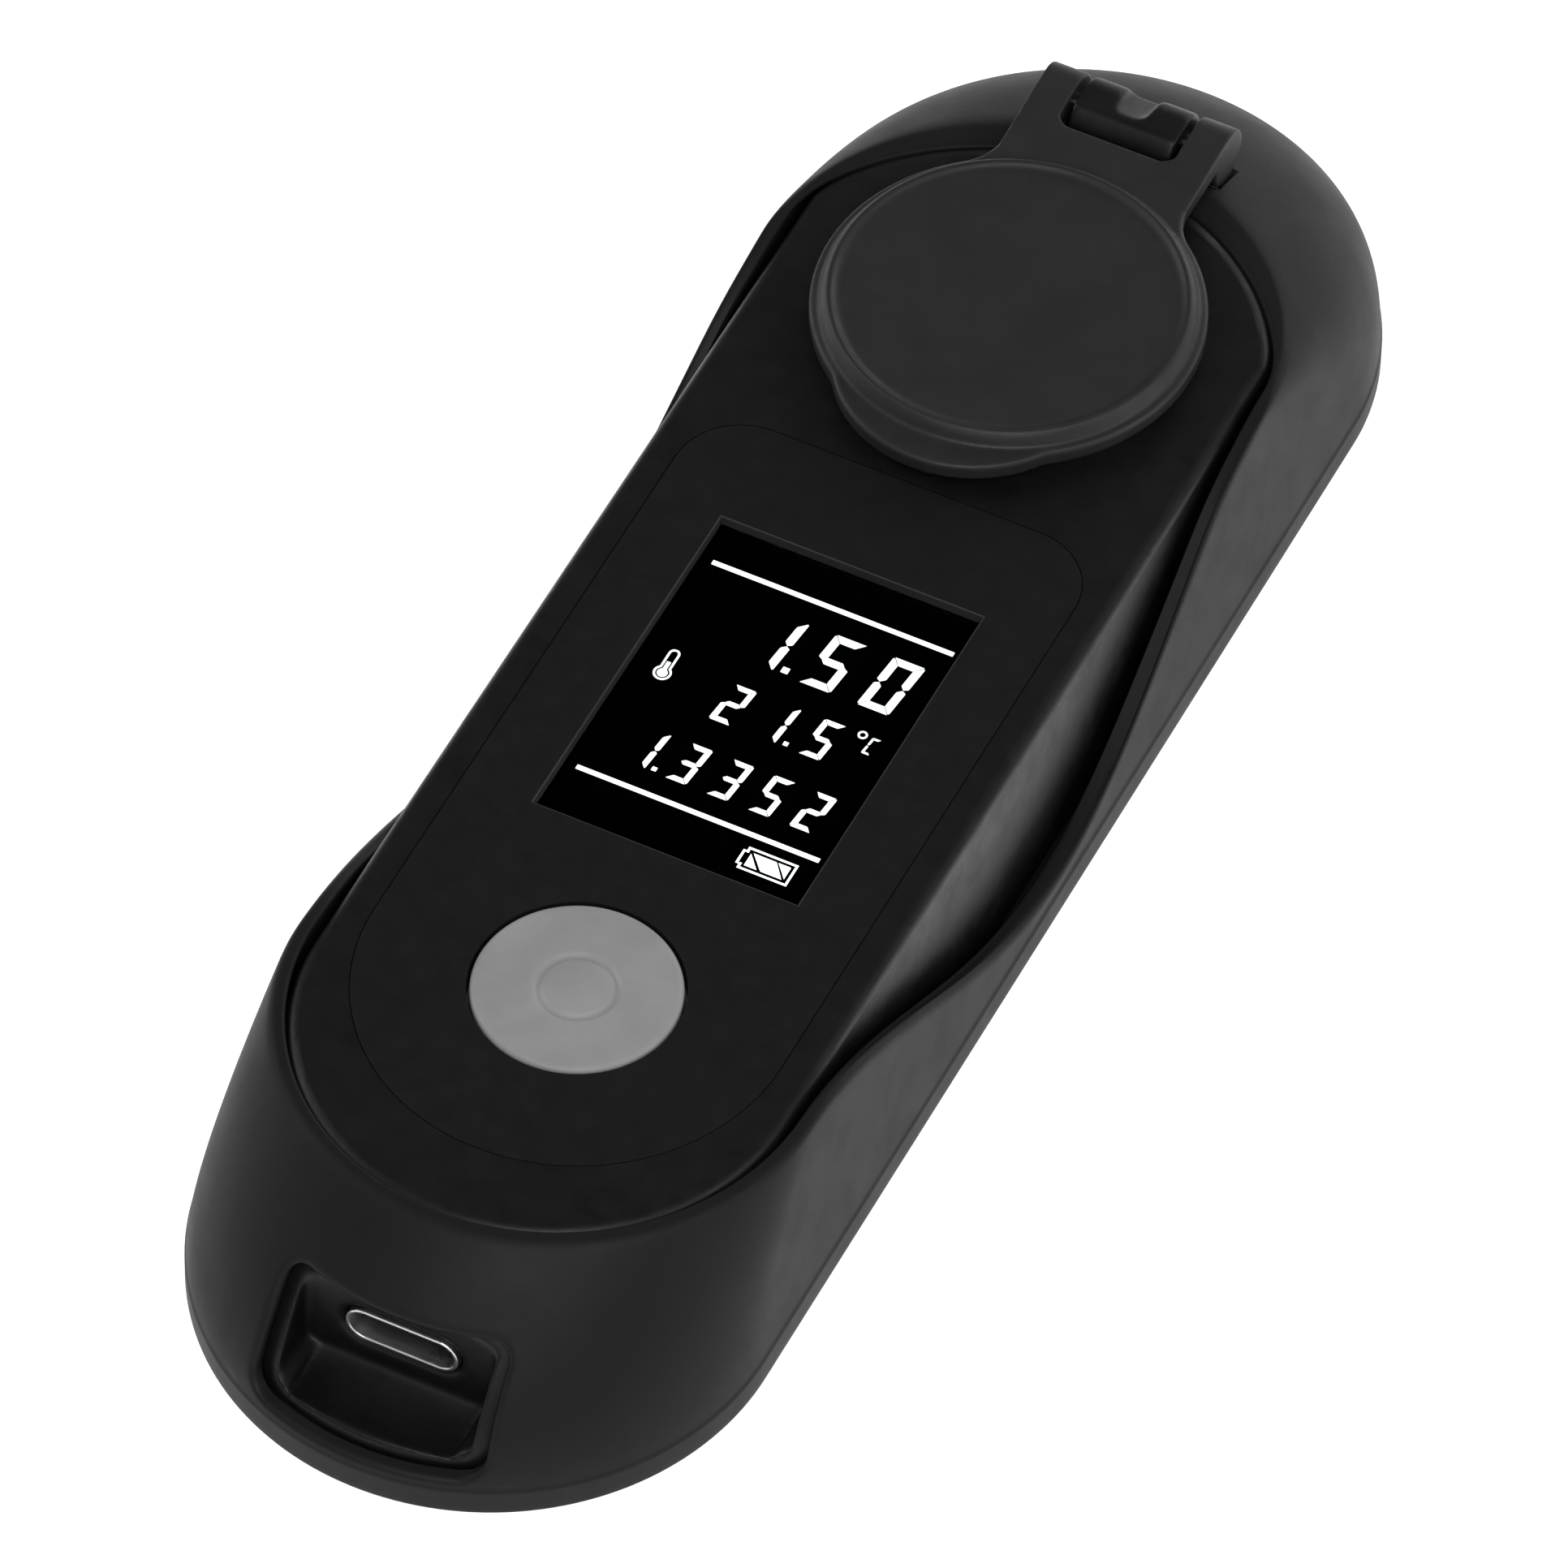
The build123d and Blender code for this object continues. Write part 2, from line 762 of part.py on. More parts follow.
def main_board():
    w = board_half_width
    centre = board_front + w
    outline = Pos(0, (centre + board_rear) / 2) * Rectangle(2 * w, board_rear - centre)
    outline += Pos(0, centre) * Circle(w)
    board = extrude(Pos(0, 0, board_z) * outline, board_thickness)
    for x, y in mirrored(screw_spots):
        board -= post(boss_radius + board_boss_clearance, 0, tall, x, y)
    for x, y in mirrored(board_screw_spots):
        board -= post(board_screw_radius + screw_clearance, 0, tall, x, y)
    return board


def board_chips():
    chips = []
    for (width, length, height), (x, y) in zip(chip_sizes, chip_spots):
        chips.append(Pos(x, y, board_top + height / 2) * Box(width, length, height))
    return chips


def usb_shell():
    outer = capsule(usb_width, usb_height, pocket_y, pocket_y + usb_length, usb_z)
    width = usb_width - 2 * usb_skin
    height = usb_height - 2 * usb_skin
    return outer - capsule(width, height, pocket_y - over, pocket_y + usb_length + over, usb_z)


def usb_tongue():
    back = pocket_y + usb_length
    width = usb_width - 2 * usb_skin
    base = capsule(width, usb_height - 2 * usb_skin, back - tongue_base, back, usb_z)
    half = tongue_width / 2
    blade = block(
        -half,
        half,
        back - tongue_base - tongue_length,
        back - tongue_base,
        usb_z - tongue_thickness / 2,
        usb_z + tongue_thickness / 2,
    )
    return base + blade


def battery_pad():
    return Pos(0, battery_y, board_top + pad_thickness / 2) * Box(
        battery_width - 2 * battery_edge, battery_length - 2 * battery_edge, pad_thickness
    )


def battery_cell():
    cell = Pos(0, battery_y, battery_z + battery_thickness / 2) * Box(
        battery_width, battery_length, battery_thickness
    )
    return fillet(cell.edges().filter_by(Axis.Y), battery_edge)


def battery_plug():
    width, length, height = plug_size
    x = sum(lead_spots) / len(lead_spots)
    y = battery_rear + plug_gap + length / 2
    return Pos(x, y, board_top + height / 2) * Box(width, length, height)


def battery_leads():
    z = board_top + lead_z
    return [bore(lead_radius, battery_rear, battery_rear + plug_gap, x, z) for x in lead_spots]


def sample_well():
    """The steel dish that takes the drop, with a flange on the face and a window for the prism."""
    flange = well_flange_radius
    under = well_under
    neck = well_neck_radius
    step_z = wall_z - clamp_ring_height
    foot = well_floor_radius + well_wall
    points = [
        (0, under),
        (foot, under),
        (neck, step_z),
        (neck, face_z),
        (flange, face_z),
        (flange, well_top),
        (well_mouth_radius, well_top),
        (well_floor_radius, well_floor_z),
        (0, well_floor_z),
    ]
    face = Plane.XZ * Polygon(*points, align=None)
    dish = revolve(face, Axis.Z)
    rim = dish.edges().filter_by(GeomType.CIRCLE).group_by(Axis.Z)[-1]
    dish = fillet(rim, well_rim_round)
    dish = Pos(0, well_y, 0) * dish
    length = prism_half_length + prism_clearance
    width = prism_half_width + prism_clearance
    return dish - block(
        -width, width, well_y - length, well_y + length, well_under, well_floor_z
    )


def well_seal():
    top = face_z
    outer = well_seal_inner + well_seal_width
    return tube(outer, well_seal_inner, top - well_seal_depth, top, 0, well_y)


def well_clamp_ring():
    ring = tube(
        well_neck_radius + clamp_ring_width,
        well_neck_radius,
        wall_z - clamp_ring_height,
        wall_z,
        0,
        well_y,
    )
    for turn in range(4):
        notch = Pos(0, well_y, wall_z - clamp_ring_height) * Rot(0, 0, 90 * turn)
        ring -= notch * Pos(well_neck_radius + clamp_ring_width, 0, 0) * Box(*clamp_notch)
    return ring


def prism_section():
    """The prism's side view: a flat top for the sample, and two sloping faces for the light."""
    foot_z = well_floor_z - prism_height
    points = [
        (well_y - prism_half_length, well_floor_z),
        (well_y - prism_half_foot, foot_z),
        (well_y + prism_half_foot, foot_z),
        (well_y + prism_half_length, well_floor_z),
    ]
    return Plane.YZ * Polygon(*points, align=None)


def prism():
    return extrude(prism_section(), prism_half_width, both=True)


def prism_seal():
    length = prism_half_length + prism_clearance
    width = prism_half_width + prism_clearance
    edge = prism_seal_width
    pad = block(
        -width - edge, width + edge, well_y - length - edge, well_y + length + edge, block_top, well_under
    )
    return pad - block(-width, width, well_y - length, well_y + length, 0, tall)


def optics_block():
    """The dark metal block under the well, with the prism's pocket and two light bores."""
    body = block(-block_half_width, block_half_width, block_front, block_rear, block_foot, block_top)
    length = prism_half_length + prism_clearance
    width = prism_half_width + prism_clearance
    foot_z = well_floor_z - prism_height
    body -= block(-width, width, well_y - length, well_y + length, foot_z, tall)
    body -= bore(lamp_radius + lamp_clearance, block_front - over, well_y, 0, light_bore_z)
    body -= bore(lens_radius + lens_clearance, well_y, block_rear + over, 0, light_bore_z)
    sensor_w, sensor_d, sensor_h = sensor_size
    body -= block(
        -sensor_w / 2 - sensor_clearance,
        sensor_w / 2 + sensor_clearance,
        block_rear - sensor_d - sensor_clearance,
        block_rear + over,
        light_bore_z - sensor_h / 2 - sensor_clearance,
        light_bore_z + sensor_h / 2 + sensor_clearance,
    )
    body -= post(
        probe_radius + probe_clearance,
        well_under - probe_length - probe_hole_spare,
        tall,
        probe_x,
        well_y,
    )
    spot_x, spot_y = block_screw_spot
    for x, y in mirrored(((spot_x, well_y - spot_y), (spot_x, well_y + spot_y))):
        body -= post(block_screw_radius + screw_clearance, 0, tall, x, y)
        body -= post(block_screw_head + head_clearance, block_screw_seat, tall, x, y)
    return body


def optics_screws():
    spot_x, spot_y = block_screw_spot
    return [
        screw(
            block_screw_radius,
            block_screw_head,
            block_screw_head_height,
            block_screw_length,
            x,
            y,
            block_screw_seat + block_screw_head_height,
            up=False,
        )
        for x, y in mirrored(((spot_x, well_y - spot_y), (spot_x, well_y + spot_y)))
    ]


def light_source():
    tip = block_front + lamp_length - lamp_radius
    body = bore(lamp_radius, block_front, tip, 0, light_bore_z)
    return body + Pos(0, tip, light_bore_z) * Sphere(lamp_radius)


def light_board():
    width, depth, height = light_board_size
    return Pos(0, block_front - depth / 2, light_bore_z) * Box(width, depth, height)


def focus_lens():
    """A plano-convex lens in the sensor's bore."""
    y = well_y + prism_half_length + lens_setback
    disc = bore(lens_radius, y, y + lens_thickness, 0, light_bore_z)
    bulge_radius = (lens_radius**2 + lens_bulge**2) / (2 * lens_bulge)
    ball = Pos(0, y - lens_bulge + bulge_radius, light_bore_z) * Sphere(bulge_radius)
    cap = ball & bore(lens_radius, y - lens_bulge, y + lens_bulge, 0, light_bore_z)
    return disc + cap


def line_sensor():
    width, depth, height = sensor_size
    return Pos(0, block_rear - depth / 2, light_bore_z) * Box(width, depth, height)


def sensor_board():
    width, depth, height = sensor_board_size
    return Pos(0, block_rear + depth / 2, light_bore_z - sensor_board_drop) * Box(width, depth, height)


def temperature_probe():
    bead = post(probe_radius, well_under - probe_length, well_under, probe_x, well_y)
    return fillet(bead.edges().group_by(Axis.Z)[0], probe_tip_round)


def sensor_ribbon():
    """The flat cable from the sensor board, past the optics block, to the main board."""
    half = ribbon_thickness / 2
    board_width, board_depth = sensor_board_size[:2]
    back = block_rear + board_depth
    z0 = board_top + ribbon_lift
    z1 = z0 + ribbon_width
    start = board_rear - ribbon_socket_size[1] / 2
    side = block(ribbon_x - half, ribbon_x + half, start, back + ribbon_thickness, z0, z1)
    joint_x = ribbon_joint - board_width / 2
    tail = block(ribbon_x - half, joint_x, back, back + ribbon_thickness, z0, z1)
    return side + tail


def ribbon_socket():
    width, length, height = ribbon_socket_size
    y = board_rear - length
    case = Pos(ribbon_x, y, board_top + height / 2) * Box(width, length, height)
    half = ribbon_thickness / 2
    z0 = board_top + ribbon_lift
    return case - block(ribbon_x - half, ribbon_x + half, y, y + length, z0, z0 + ribbon_width)


def cove(start, end, centre, radius):
    """The web that fills the corner between two outlines, hollowed by a circle tangent to both."""
    web = make_face(Polyline(start, end, centre, close=True))
    return web - Pos(*centre) * Circle(radius)


def lid_plan():
    """The lid's outline seen from above: disc, thumb tab, and a neck that splits into two arms."""
    plan = Pos(0, well_y) * Circle(lid_radius)
    plan += Pos(0, lid_tab_y) * Circle(lid_tab_radius)
    plan += Pos(0, (well_y + hinge_y) / 2) * Rectangle(2 * arm_half_width, hinge_y - well_y)
    apart = well_y - lid_tab_y
    disc_reach = lid_radius + lid_tab_fillet
    tab_reach = lid_tab_radius + lid_tab_fillet
    drop = (disc_reach**2 - tab_reach**2 + apart**2) / (2 * apart)
    tab_x = sqrt(disc_reach**2 - drop**2)
    neck_x = arm_half_width + arm_fillet
    neck_y = well_y + sqrt((lid_radius + arm_fillet) ** 2 - neck_x**2)
    for side in (1, -1):
        plan += cove(
            (0, well_y), (0, lid_tab_y), (side * tab_x, well_y - drop), lid_tab_fillet
        )
        plan += cove((0, well_y), (0, neck_y), (side * neck_x, neck_y), arm_fillet)
    slot_end = hinge_y + barrel_radius + over
    slot = Pos(0, (slot_front + slot_end) / 2) * Rectangle(2 * slot_half_width, slot_end - slot_front)
    slot = fillet(slot.vertices().group_by(Axis.Y)[0], slot_corner)
    return plan - slot


def arm_rise():
    """The arms' upper part, which leaves the plate level and runs level into the barrels."""
    crest_z = hinge_z + barrel_radius
    start = (0, arm_rise_start, lid_plate_top)
    end = (0, hinge_y, crest_z)
    curve = Edge.make_spline([start, end], tangents=[(0, 1, 0), (0, 1, 0)])
    low_end = (0, hinge_y, lid_under)
    low_start = (0, arm_rise_start, lid_under)
    sides = [
        Edge.make_line(end, low_end),
        Edge.make_line(low_end, low_start),
        Edge.make_line(low_start, start),
    ]
    rise = extrude(Face(Wire([curve, *sides])), wide, dir=(1, 0, 0), both=True)
    return rise & extrude(Pos(0, 0, lid_under) * lid_plan(), crest_z - lid_under)


def sample_lid():
    plate = extrude(Pos(0, 0, lid_under) * lid_plan(), lid_plate_thickness)
    plate = fillet(plate.edges().group_by(Axis.Z)[-1], lid_edge_round)
    crest = lid_crest_radius
    half = lid_crest_width
    dish = [
        Edge.make_line((0, 0, lid_under), (lid_shoulder_radius, 0, lid_under)),
        Edge.make_line((lid_shoulder_radius, 0, lid_under), (lid_shoulder_radius, 0, lid_plate_top)),
        Edge.make_spline(
            [
                (lid_shoulder_radius, 0, lid_plate_top),
                (crest, 0, lid_crest_z),
                (crest - half, 0, lid_disc_z),
            ],
            tangents=[(-lid_crest_lean, 0, 1), (-1, 0, 0)],
        ),
        Edge.make_line((crest - half, 0, lid_disc_z), (0, 0, lid_disc_z)),
        Edge.make_line((0, 0, lid_disc_z), (0, 0, lid_under)),
    ]
    raised = Pos(0, well_y, 0) * revolve(Face(Wire(dish)), Axis.Z)
    lid = plate + raised
    lid += arm_rise()
    arm_mid = (slot_half_width + arm_half_width) / 2
    arm_width = arm_half_width - slot_half_width
    for side in (1, -1):
        x0 = side * arm_mid - arm_width / 2
        x1 = side * arm_mid + arm_width / 2
        lid += rod(barrel_radius, x0, x1, hinge_y, hinge_z)
        bore_half = arm_width - (arm_half_width - pin_half_length) + pin_end_clearance
        inner = side * (slot_half_width + bore_half / 2)
        lid -= rod(
            pin_radius + pin_clearance, inner - bore_half / 2, inner + bore_half / 2, hinge_y, hinge_z
        )
    groove_outer = seal_inner + seal_width
    lid -= tube(groove_outer, seal_inner, lid_under, lid_under + seal_depth, 0, well_y)
    return lid


def lid_seal():
    outer = seal_inner + seal_width
    return tube(outer, seal_inner, lid_under - seal_proud, lid_under + seal_depth, 0, well_y)


def hinge_pin():
    return rod(pin_radius, -pin_half_length, pin_half_length, hinge_y, hinge_z)


pieces = {
    "rubber_boot": rubber_boot(),
    "upper_housing": upper_housing(),
    "lower_housing": lower_housing(),
    "housing_gasket": gasket_ring(),
    "housing_screws": housing_screws(),
    "face_label": face_label(),
    "display_window": display_window(),
    "display_glass": display_glass(),
    "display_backlight": display_backlight(),
    "display_frame": display_frame(),
    "display_flex": display_flex(),
    "display_socket": display_socket(),
    "button_cap": button_cap(),
    "switch_body": switch_body(),
    "switch_plunger": switch_plunger(),
    "main_board": main_board(),
    "board_screws": board_screws(),
    "board_chips": board_chips(),
    "usb_shell": usb_shell(),
    "usb_tongue": usb_tongue(),
    "battery_pad": battery_pad(),
    "battery_cell": battery_cell(),
    "battery_plug": battery_plug(),
    "battery_leads": battery_leads(),
    "sample_well": sample_well(),
    "well_seal": well_seal(),
    "well_clamp_ring": well_clamp_ring(),
    "prism": prism(),
    "prism_seal": prism_seal(),
    "optics_block": optics_block(),
    "optics_screws": optics_screws(),
    "light_source": light_source(),
    "light_board": light_board(),
    "focus_lens": focus_lens(),
    "line_sensor": line_sensor(),
    "sensor_board": sensor_board(),
    "temperature_probe": temperature_probe(),
    "sensor_ribbon": sensor_ribbon(),
    "ribbon_socket": ribbon_socket(),
    "sample_lid": sample_lid(),
    "lid_seal": lid_seal(),
    "hinge_pin": hinge_pin(),
}

os.makedirs("parts", exist_ok=True)
for name, piece in pieces.items():
    solids = piece if isinstance(piece, list) else [piece]
    found = [solid for item in solids for solid in item.solids()]
    shape = found[0] if len(found) == 1 else Compound(children=found)
    export_step(shape, f"parts/{name}.step")
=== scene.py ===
import json
from math import atan2, cos, pi, radians, sin, sqrt, tan

import bmesh
import bpy
from mathutils import Matrix, Vector


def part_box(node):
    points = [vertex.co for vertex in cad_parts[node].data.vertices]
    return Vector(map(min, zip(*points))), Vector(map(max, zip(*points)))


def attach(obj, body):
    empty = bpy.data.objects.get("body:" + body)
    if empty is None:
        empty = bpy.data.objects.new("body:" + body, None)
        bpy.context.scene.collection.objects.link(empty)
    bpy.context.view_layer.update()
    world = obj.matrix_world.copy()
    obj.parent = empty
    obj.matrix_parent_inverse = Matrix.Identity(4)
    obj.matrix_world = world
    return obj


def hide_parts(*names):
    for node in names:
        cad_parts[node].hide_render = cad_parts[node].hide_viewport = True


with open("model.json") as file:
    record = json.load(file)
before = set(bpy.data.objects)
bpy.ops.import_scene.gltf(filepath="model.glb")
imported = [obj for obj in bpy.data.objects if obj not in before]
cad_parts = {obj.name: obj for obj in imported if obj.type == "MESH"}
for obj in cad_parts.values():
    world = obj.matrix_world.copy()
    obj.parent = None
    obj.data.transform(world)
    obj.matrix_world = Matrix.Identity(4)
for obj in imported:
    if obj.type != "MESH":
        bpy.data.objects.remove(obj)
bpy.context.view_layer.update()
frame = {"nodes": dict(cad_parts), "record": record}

# Sizes are in millimetres, in the frame's own axes. A mesh's points are turned into metres once.
MM = 0.001

# Places that come from the frame
boot_low, boot_high = [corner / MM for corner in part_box("rubber_boot")]
button_low, button_high = [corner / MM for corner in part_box("button_cap")]
window_low, window_high = [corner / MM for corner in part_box("display_window")]
pin_low, pin_high = [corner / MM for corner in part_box("hinge_pin")]

face_z = boot_high.z
glass_z = (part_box("display_glass")[1] / MM).z
button_y = (button_low.y + button_high.y) / 2
hinge_y = (pin_low.y + pin_high.y) / 2
hinge_z = (pin_low.z + pin_high.z) / 2


# Mesh helpers

# An edge is kept crisp where its faces turn by more than this many degrees
crease_angle = 40.0
rod_sides = 96
turned_sides = 128


def add_object(name, data):
    obj = bpy.data.objects.new(name, data)
    bpy.context.scene.collection.objects.link(obj)
    return obj


def set_finish(obj, material):
    """Makes a material the only one of an object."""
    obj.data.materials.clear()
    obj.data.materials.append(material)


def make_object(name, verts, faces, body, slot, smooth=True):
    """A mesh object from points in millimetres, which rides on a body and takes a slot's finish."""
    mesh = bpy.data.meshes.new(name)
    mesh.from_pydata([(x * MM, y * MM, z * MM) for x, y, z in verts], [], faces)
    mesh.validate()
    tool = bmesh.new()
    tool.from_mesh(mesh)
    bmesh.ops.recalc_face_normals(tool, faces=tool.faces)
    tool.to_mesh(mesh)
    tool.free()
    mesh.polygons.foreach_set("use_smooth", [smooth] * len(mesh.polygons))
    obj = add_object(name, mesh)
    set_finish(obj, materials[slot])
    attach(obj, body)
    return obj


def settle(obj):
    """Applies every modifier of an object."""
    graph = bpy.context.evaluated_depsgraph_get()
    mesh = bpy.data.meshes.new_from_object(obj.evaluated_get(graph))
    obj.modifiers.clear()
    obj.data = mesh


def sharpen(obj):
    """Keeps the creases of a smoothly shaded object crisp."""
    obj.data.set_sharp_from_angle(angle=radians(crease_angle))


def combine(obj, helper, operation):
    """Changes an object's shape with a helper object, which is then removed."""
    step = obj.modifiers.new("combine", "BOOLEAN")
    step.operation = operation
    step.solver = "EXACT"
    step.object = helper
    settle(obj)
    bpy.data.objects.remove(helper)


def helper_object(build):
    """A plain helper object, in metres, that build(tool) fills."""
    tool = bmesh.new()
    build(tool)
    mesh = bpy.data.meshes.new("helper")
    tool.to_mesh(mesh)
    tool.free()
    return add_object("helper", mesh)


def box_helper(x0, x1, y0, y1, z0, z1):
    def build(tool):
        bmesh.ops.create_cube(tool, size=1)
        size = Matrix.Diagonal(((x1 - x0) * MM, (y1 - y0) * MM, (z1 - z0) * MM, 1))
        middle = Vector(((x0 + x1) / 2, (y0 + y1) / 2, (z0 + z1) / 2))
        bmesh.ops.transform(tool, matrix=Matrix.Translation(middle * MM) @ size, verts=tool.verts)

    return helper_object(build)


def rod_helper(radius, half_length, y, z):
    """A rod along X, centred on x = 0."""

    def build(tool):
        bmesh.ops.create_cone(
            tool,
            cap_ends=True,
            segments=rod_sides,
            radius1=radius * MM,
            radius2=radius * MM,
            depth=2 * half_length * MM,
            matrix=Matrix.Translation(Vector((0, y, z)) * MM) @ Matrix.Rotation(pi / 2, 4, "Y"),
        )

    return helper_object(build)


def revolve(profile, y):
    """Points and faces of a shape turned about an upright axis. Its profile runs as (radius, z)."""
    verts = []
    faces = []
    rows = []
    for radius, z in profile:
        if radius == 0:
            rows.append([len(verts)] * turned_sides)
            verts.append((0, y, z))
            continue
        rows.append(list(range(len(verts), len(verts) + turned_sides)))
        for k in range(turned_sides):
            a = 2 * pi * k / turned_sides
            verts.append((radius * cos(a), y + radius * sin(a), z))
    for low, high in zip(rows, rows[1:]):
        for k in range(turned_sides):
            n = (k + 1) % turned_sides
            face = [low[k], low[n], high[n], high[k]]
            faces.append([v for i, v in enumerate(face) if v not in face[:i]])
    return verts, faces


# Materials

# The middle part of a noise's range, which its ramp spreads out
noise_start = 0.35
noise_end = 0.65
cloud_detail = 6.0
cloud_rough = 0.6
# The smears in the gloss are this much finer than the clouds in the colour
smear_ratio = 3.3
smear_detail = 5.0
smear_rough = 0.65
grain_detail = 3.0
grain_rough = 0.55
grain_height = 0.0002
coat_rough = 0.15
glow_depth = (0.003, 0.003, 0.003)
glow_scale = 0.5


def new_material(name):
    material = bpy.data.materials.new(name)
    material.use_nodes = True
    nodes = material.node_tree.nodes
    links = material.node_tree.links
    return material, nodes, links, nodes["Principled BSDF"]


def noise(nodes, links, place, scale, detail=4.0, rough=0.5):
    node = nodes.new("ShaderNodeTexNoise")
    node.inputs["Scale"].default_value = scale
    node.inputs["Detail"].default_value = detail
    node.inputs["Roughness"].default_value = rough
    links.new(place.outputs["Object"], node.inputs["Vector"])
    return node.outputs["Fac"]


def ramp(nodes, links, source, low, high):
    """Maps a noise to the range from low to high. Both are numbers or colours."""
    share = nodes.new("ShaderNodeMapRange")
    share.inputs["From Min"].default_value = noise_start
    share.inputs["From Max"].default_value = noise_end
    links.new(source, share.inputs["Value"])
    if not isinstance(low, tuple):
        share.inputs["To Min"].default_value = low
        share.inputs["To Max"].default_value = high
        return share.outputs["Result"]
    mix = nodes.new("ShaderNodeMix")
    mix.data_type = "RGBA"
    mix.inputs["A"].default_value = (*low, 1)
    mix.inputs["B"].default_value = (*high, 1)
    links.new(share.outputs["Result"], mix.inputs["Factor"])
    return mix.outputs["Result"]


def moulded(
    name,
    colour,
    rough,
    specular=0.5,
    vary=0.15,
    grain=2600,
    bump=0.04,
    cloud=90,
    rough_vary=0.06,
    metallic=0.0,
    coat=0.0,
    transmission=0.0,
    subsurface=0.0,
    ior=1.5,
):
    """A moulded, cast or turned surface: cloudy colour, uneven gloss and a fine grain."""
    material, nodes, links, shader = new_material(name)
    place = nodes.new("ShaderNodeTexCoord")
    clouds = noise(nodes, links, place, cloud, cloud_detail, cloud_rough)
    low = tuple(c * (1 - vary) for c in colour)
    high = tuple(c * (1 + vary) for c in colour)
    links.new(ramp(nodes, links, clouds, low, high), shader.inputs["Base Color"])
    smears = noise(nodes, links, place, cloud * smear_ratio, smear_detail, smear_rough)
    gloss = ramp(nodes, links, smears, rough - rough_vary, rough + rough_vary)
    links.new(gloss, shader.inputs["Roughness"])
    relief = nodes.new("ShaderNodeBump")
    relief.inputs["Strength"].default_value = bump
    relief.inputs["Distance"].default_value = grain_height
    fine = noise(nodes, links, place, grain, grain_detail, grain_rough)
    links.new(fine, relief.inputs["Height"])
    links.new(relief.outputs["Normal"], shader.inputs["Normal"])
    shader.inputs["Specular IOR Level"].default_value = specular
    shader.inputs["Metallic"].default_value = metallic
    shader.inputs["IOR"].default_value = ior
    shader.inputs["Coat Weight"].default_value = coat
    shader.inputs["Coat Roughness"].default_value = coat_rough
    shader.inputs["Transmission Weight"].default_value = transmission
    if subsurface:
        shader.inputs["Subsurface Weight"].default_value = subsurface
        shader.inputs["Subsurface Radius"].default_value = glow_depth
        shader.inputs["Subsurface Scale"].default_value = glow_scale
    return material


mark_cloud = 300
mark_dim = (0.95, 0.97, 1.0)
mark_bright = (1.0, 1.0, 1.0)
mark_glow = 0.9
mark_rough = 0.5


def lit_marks(name):
    """The display's lit marks."""
    material, nodes, links, shader = new_material(name)
    place = nodes.new("ShaderNodeTexCoord")
    tone = ramp(nodes, links, noise(nodes, links, place, mark_cloud), mark_dim, mark_bright)
    links.new(tone, shader.inputs["Base Color"])
    links.new(tone, shader.inputs["Emission Color"])
    shader.inputs["Emission Strength"].default_value = mark_glow
    shader.inputs["Roughness"].default_value = mark_rough
    return material


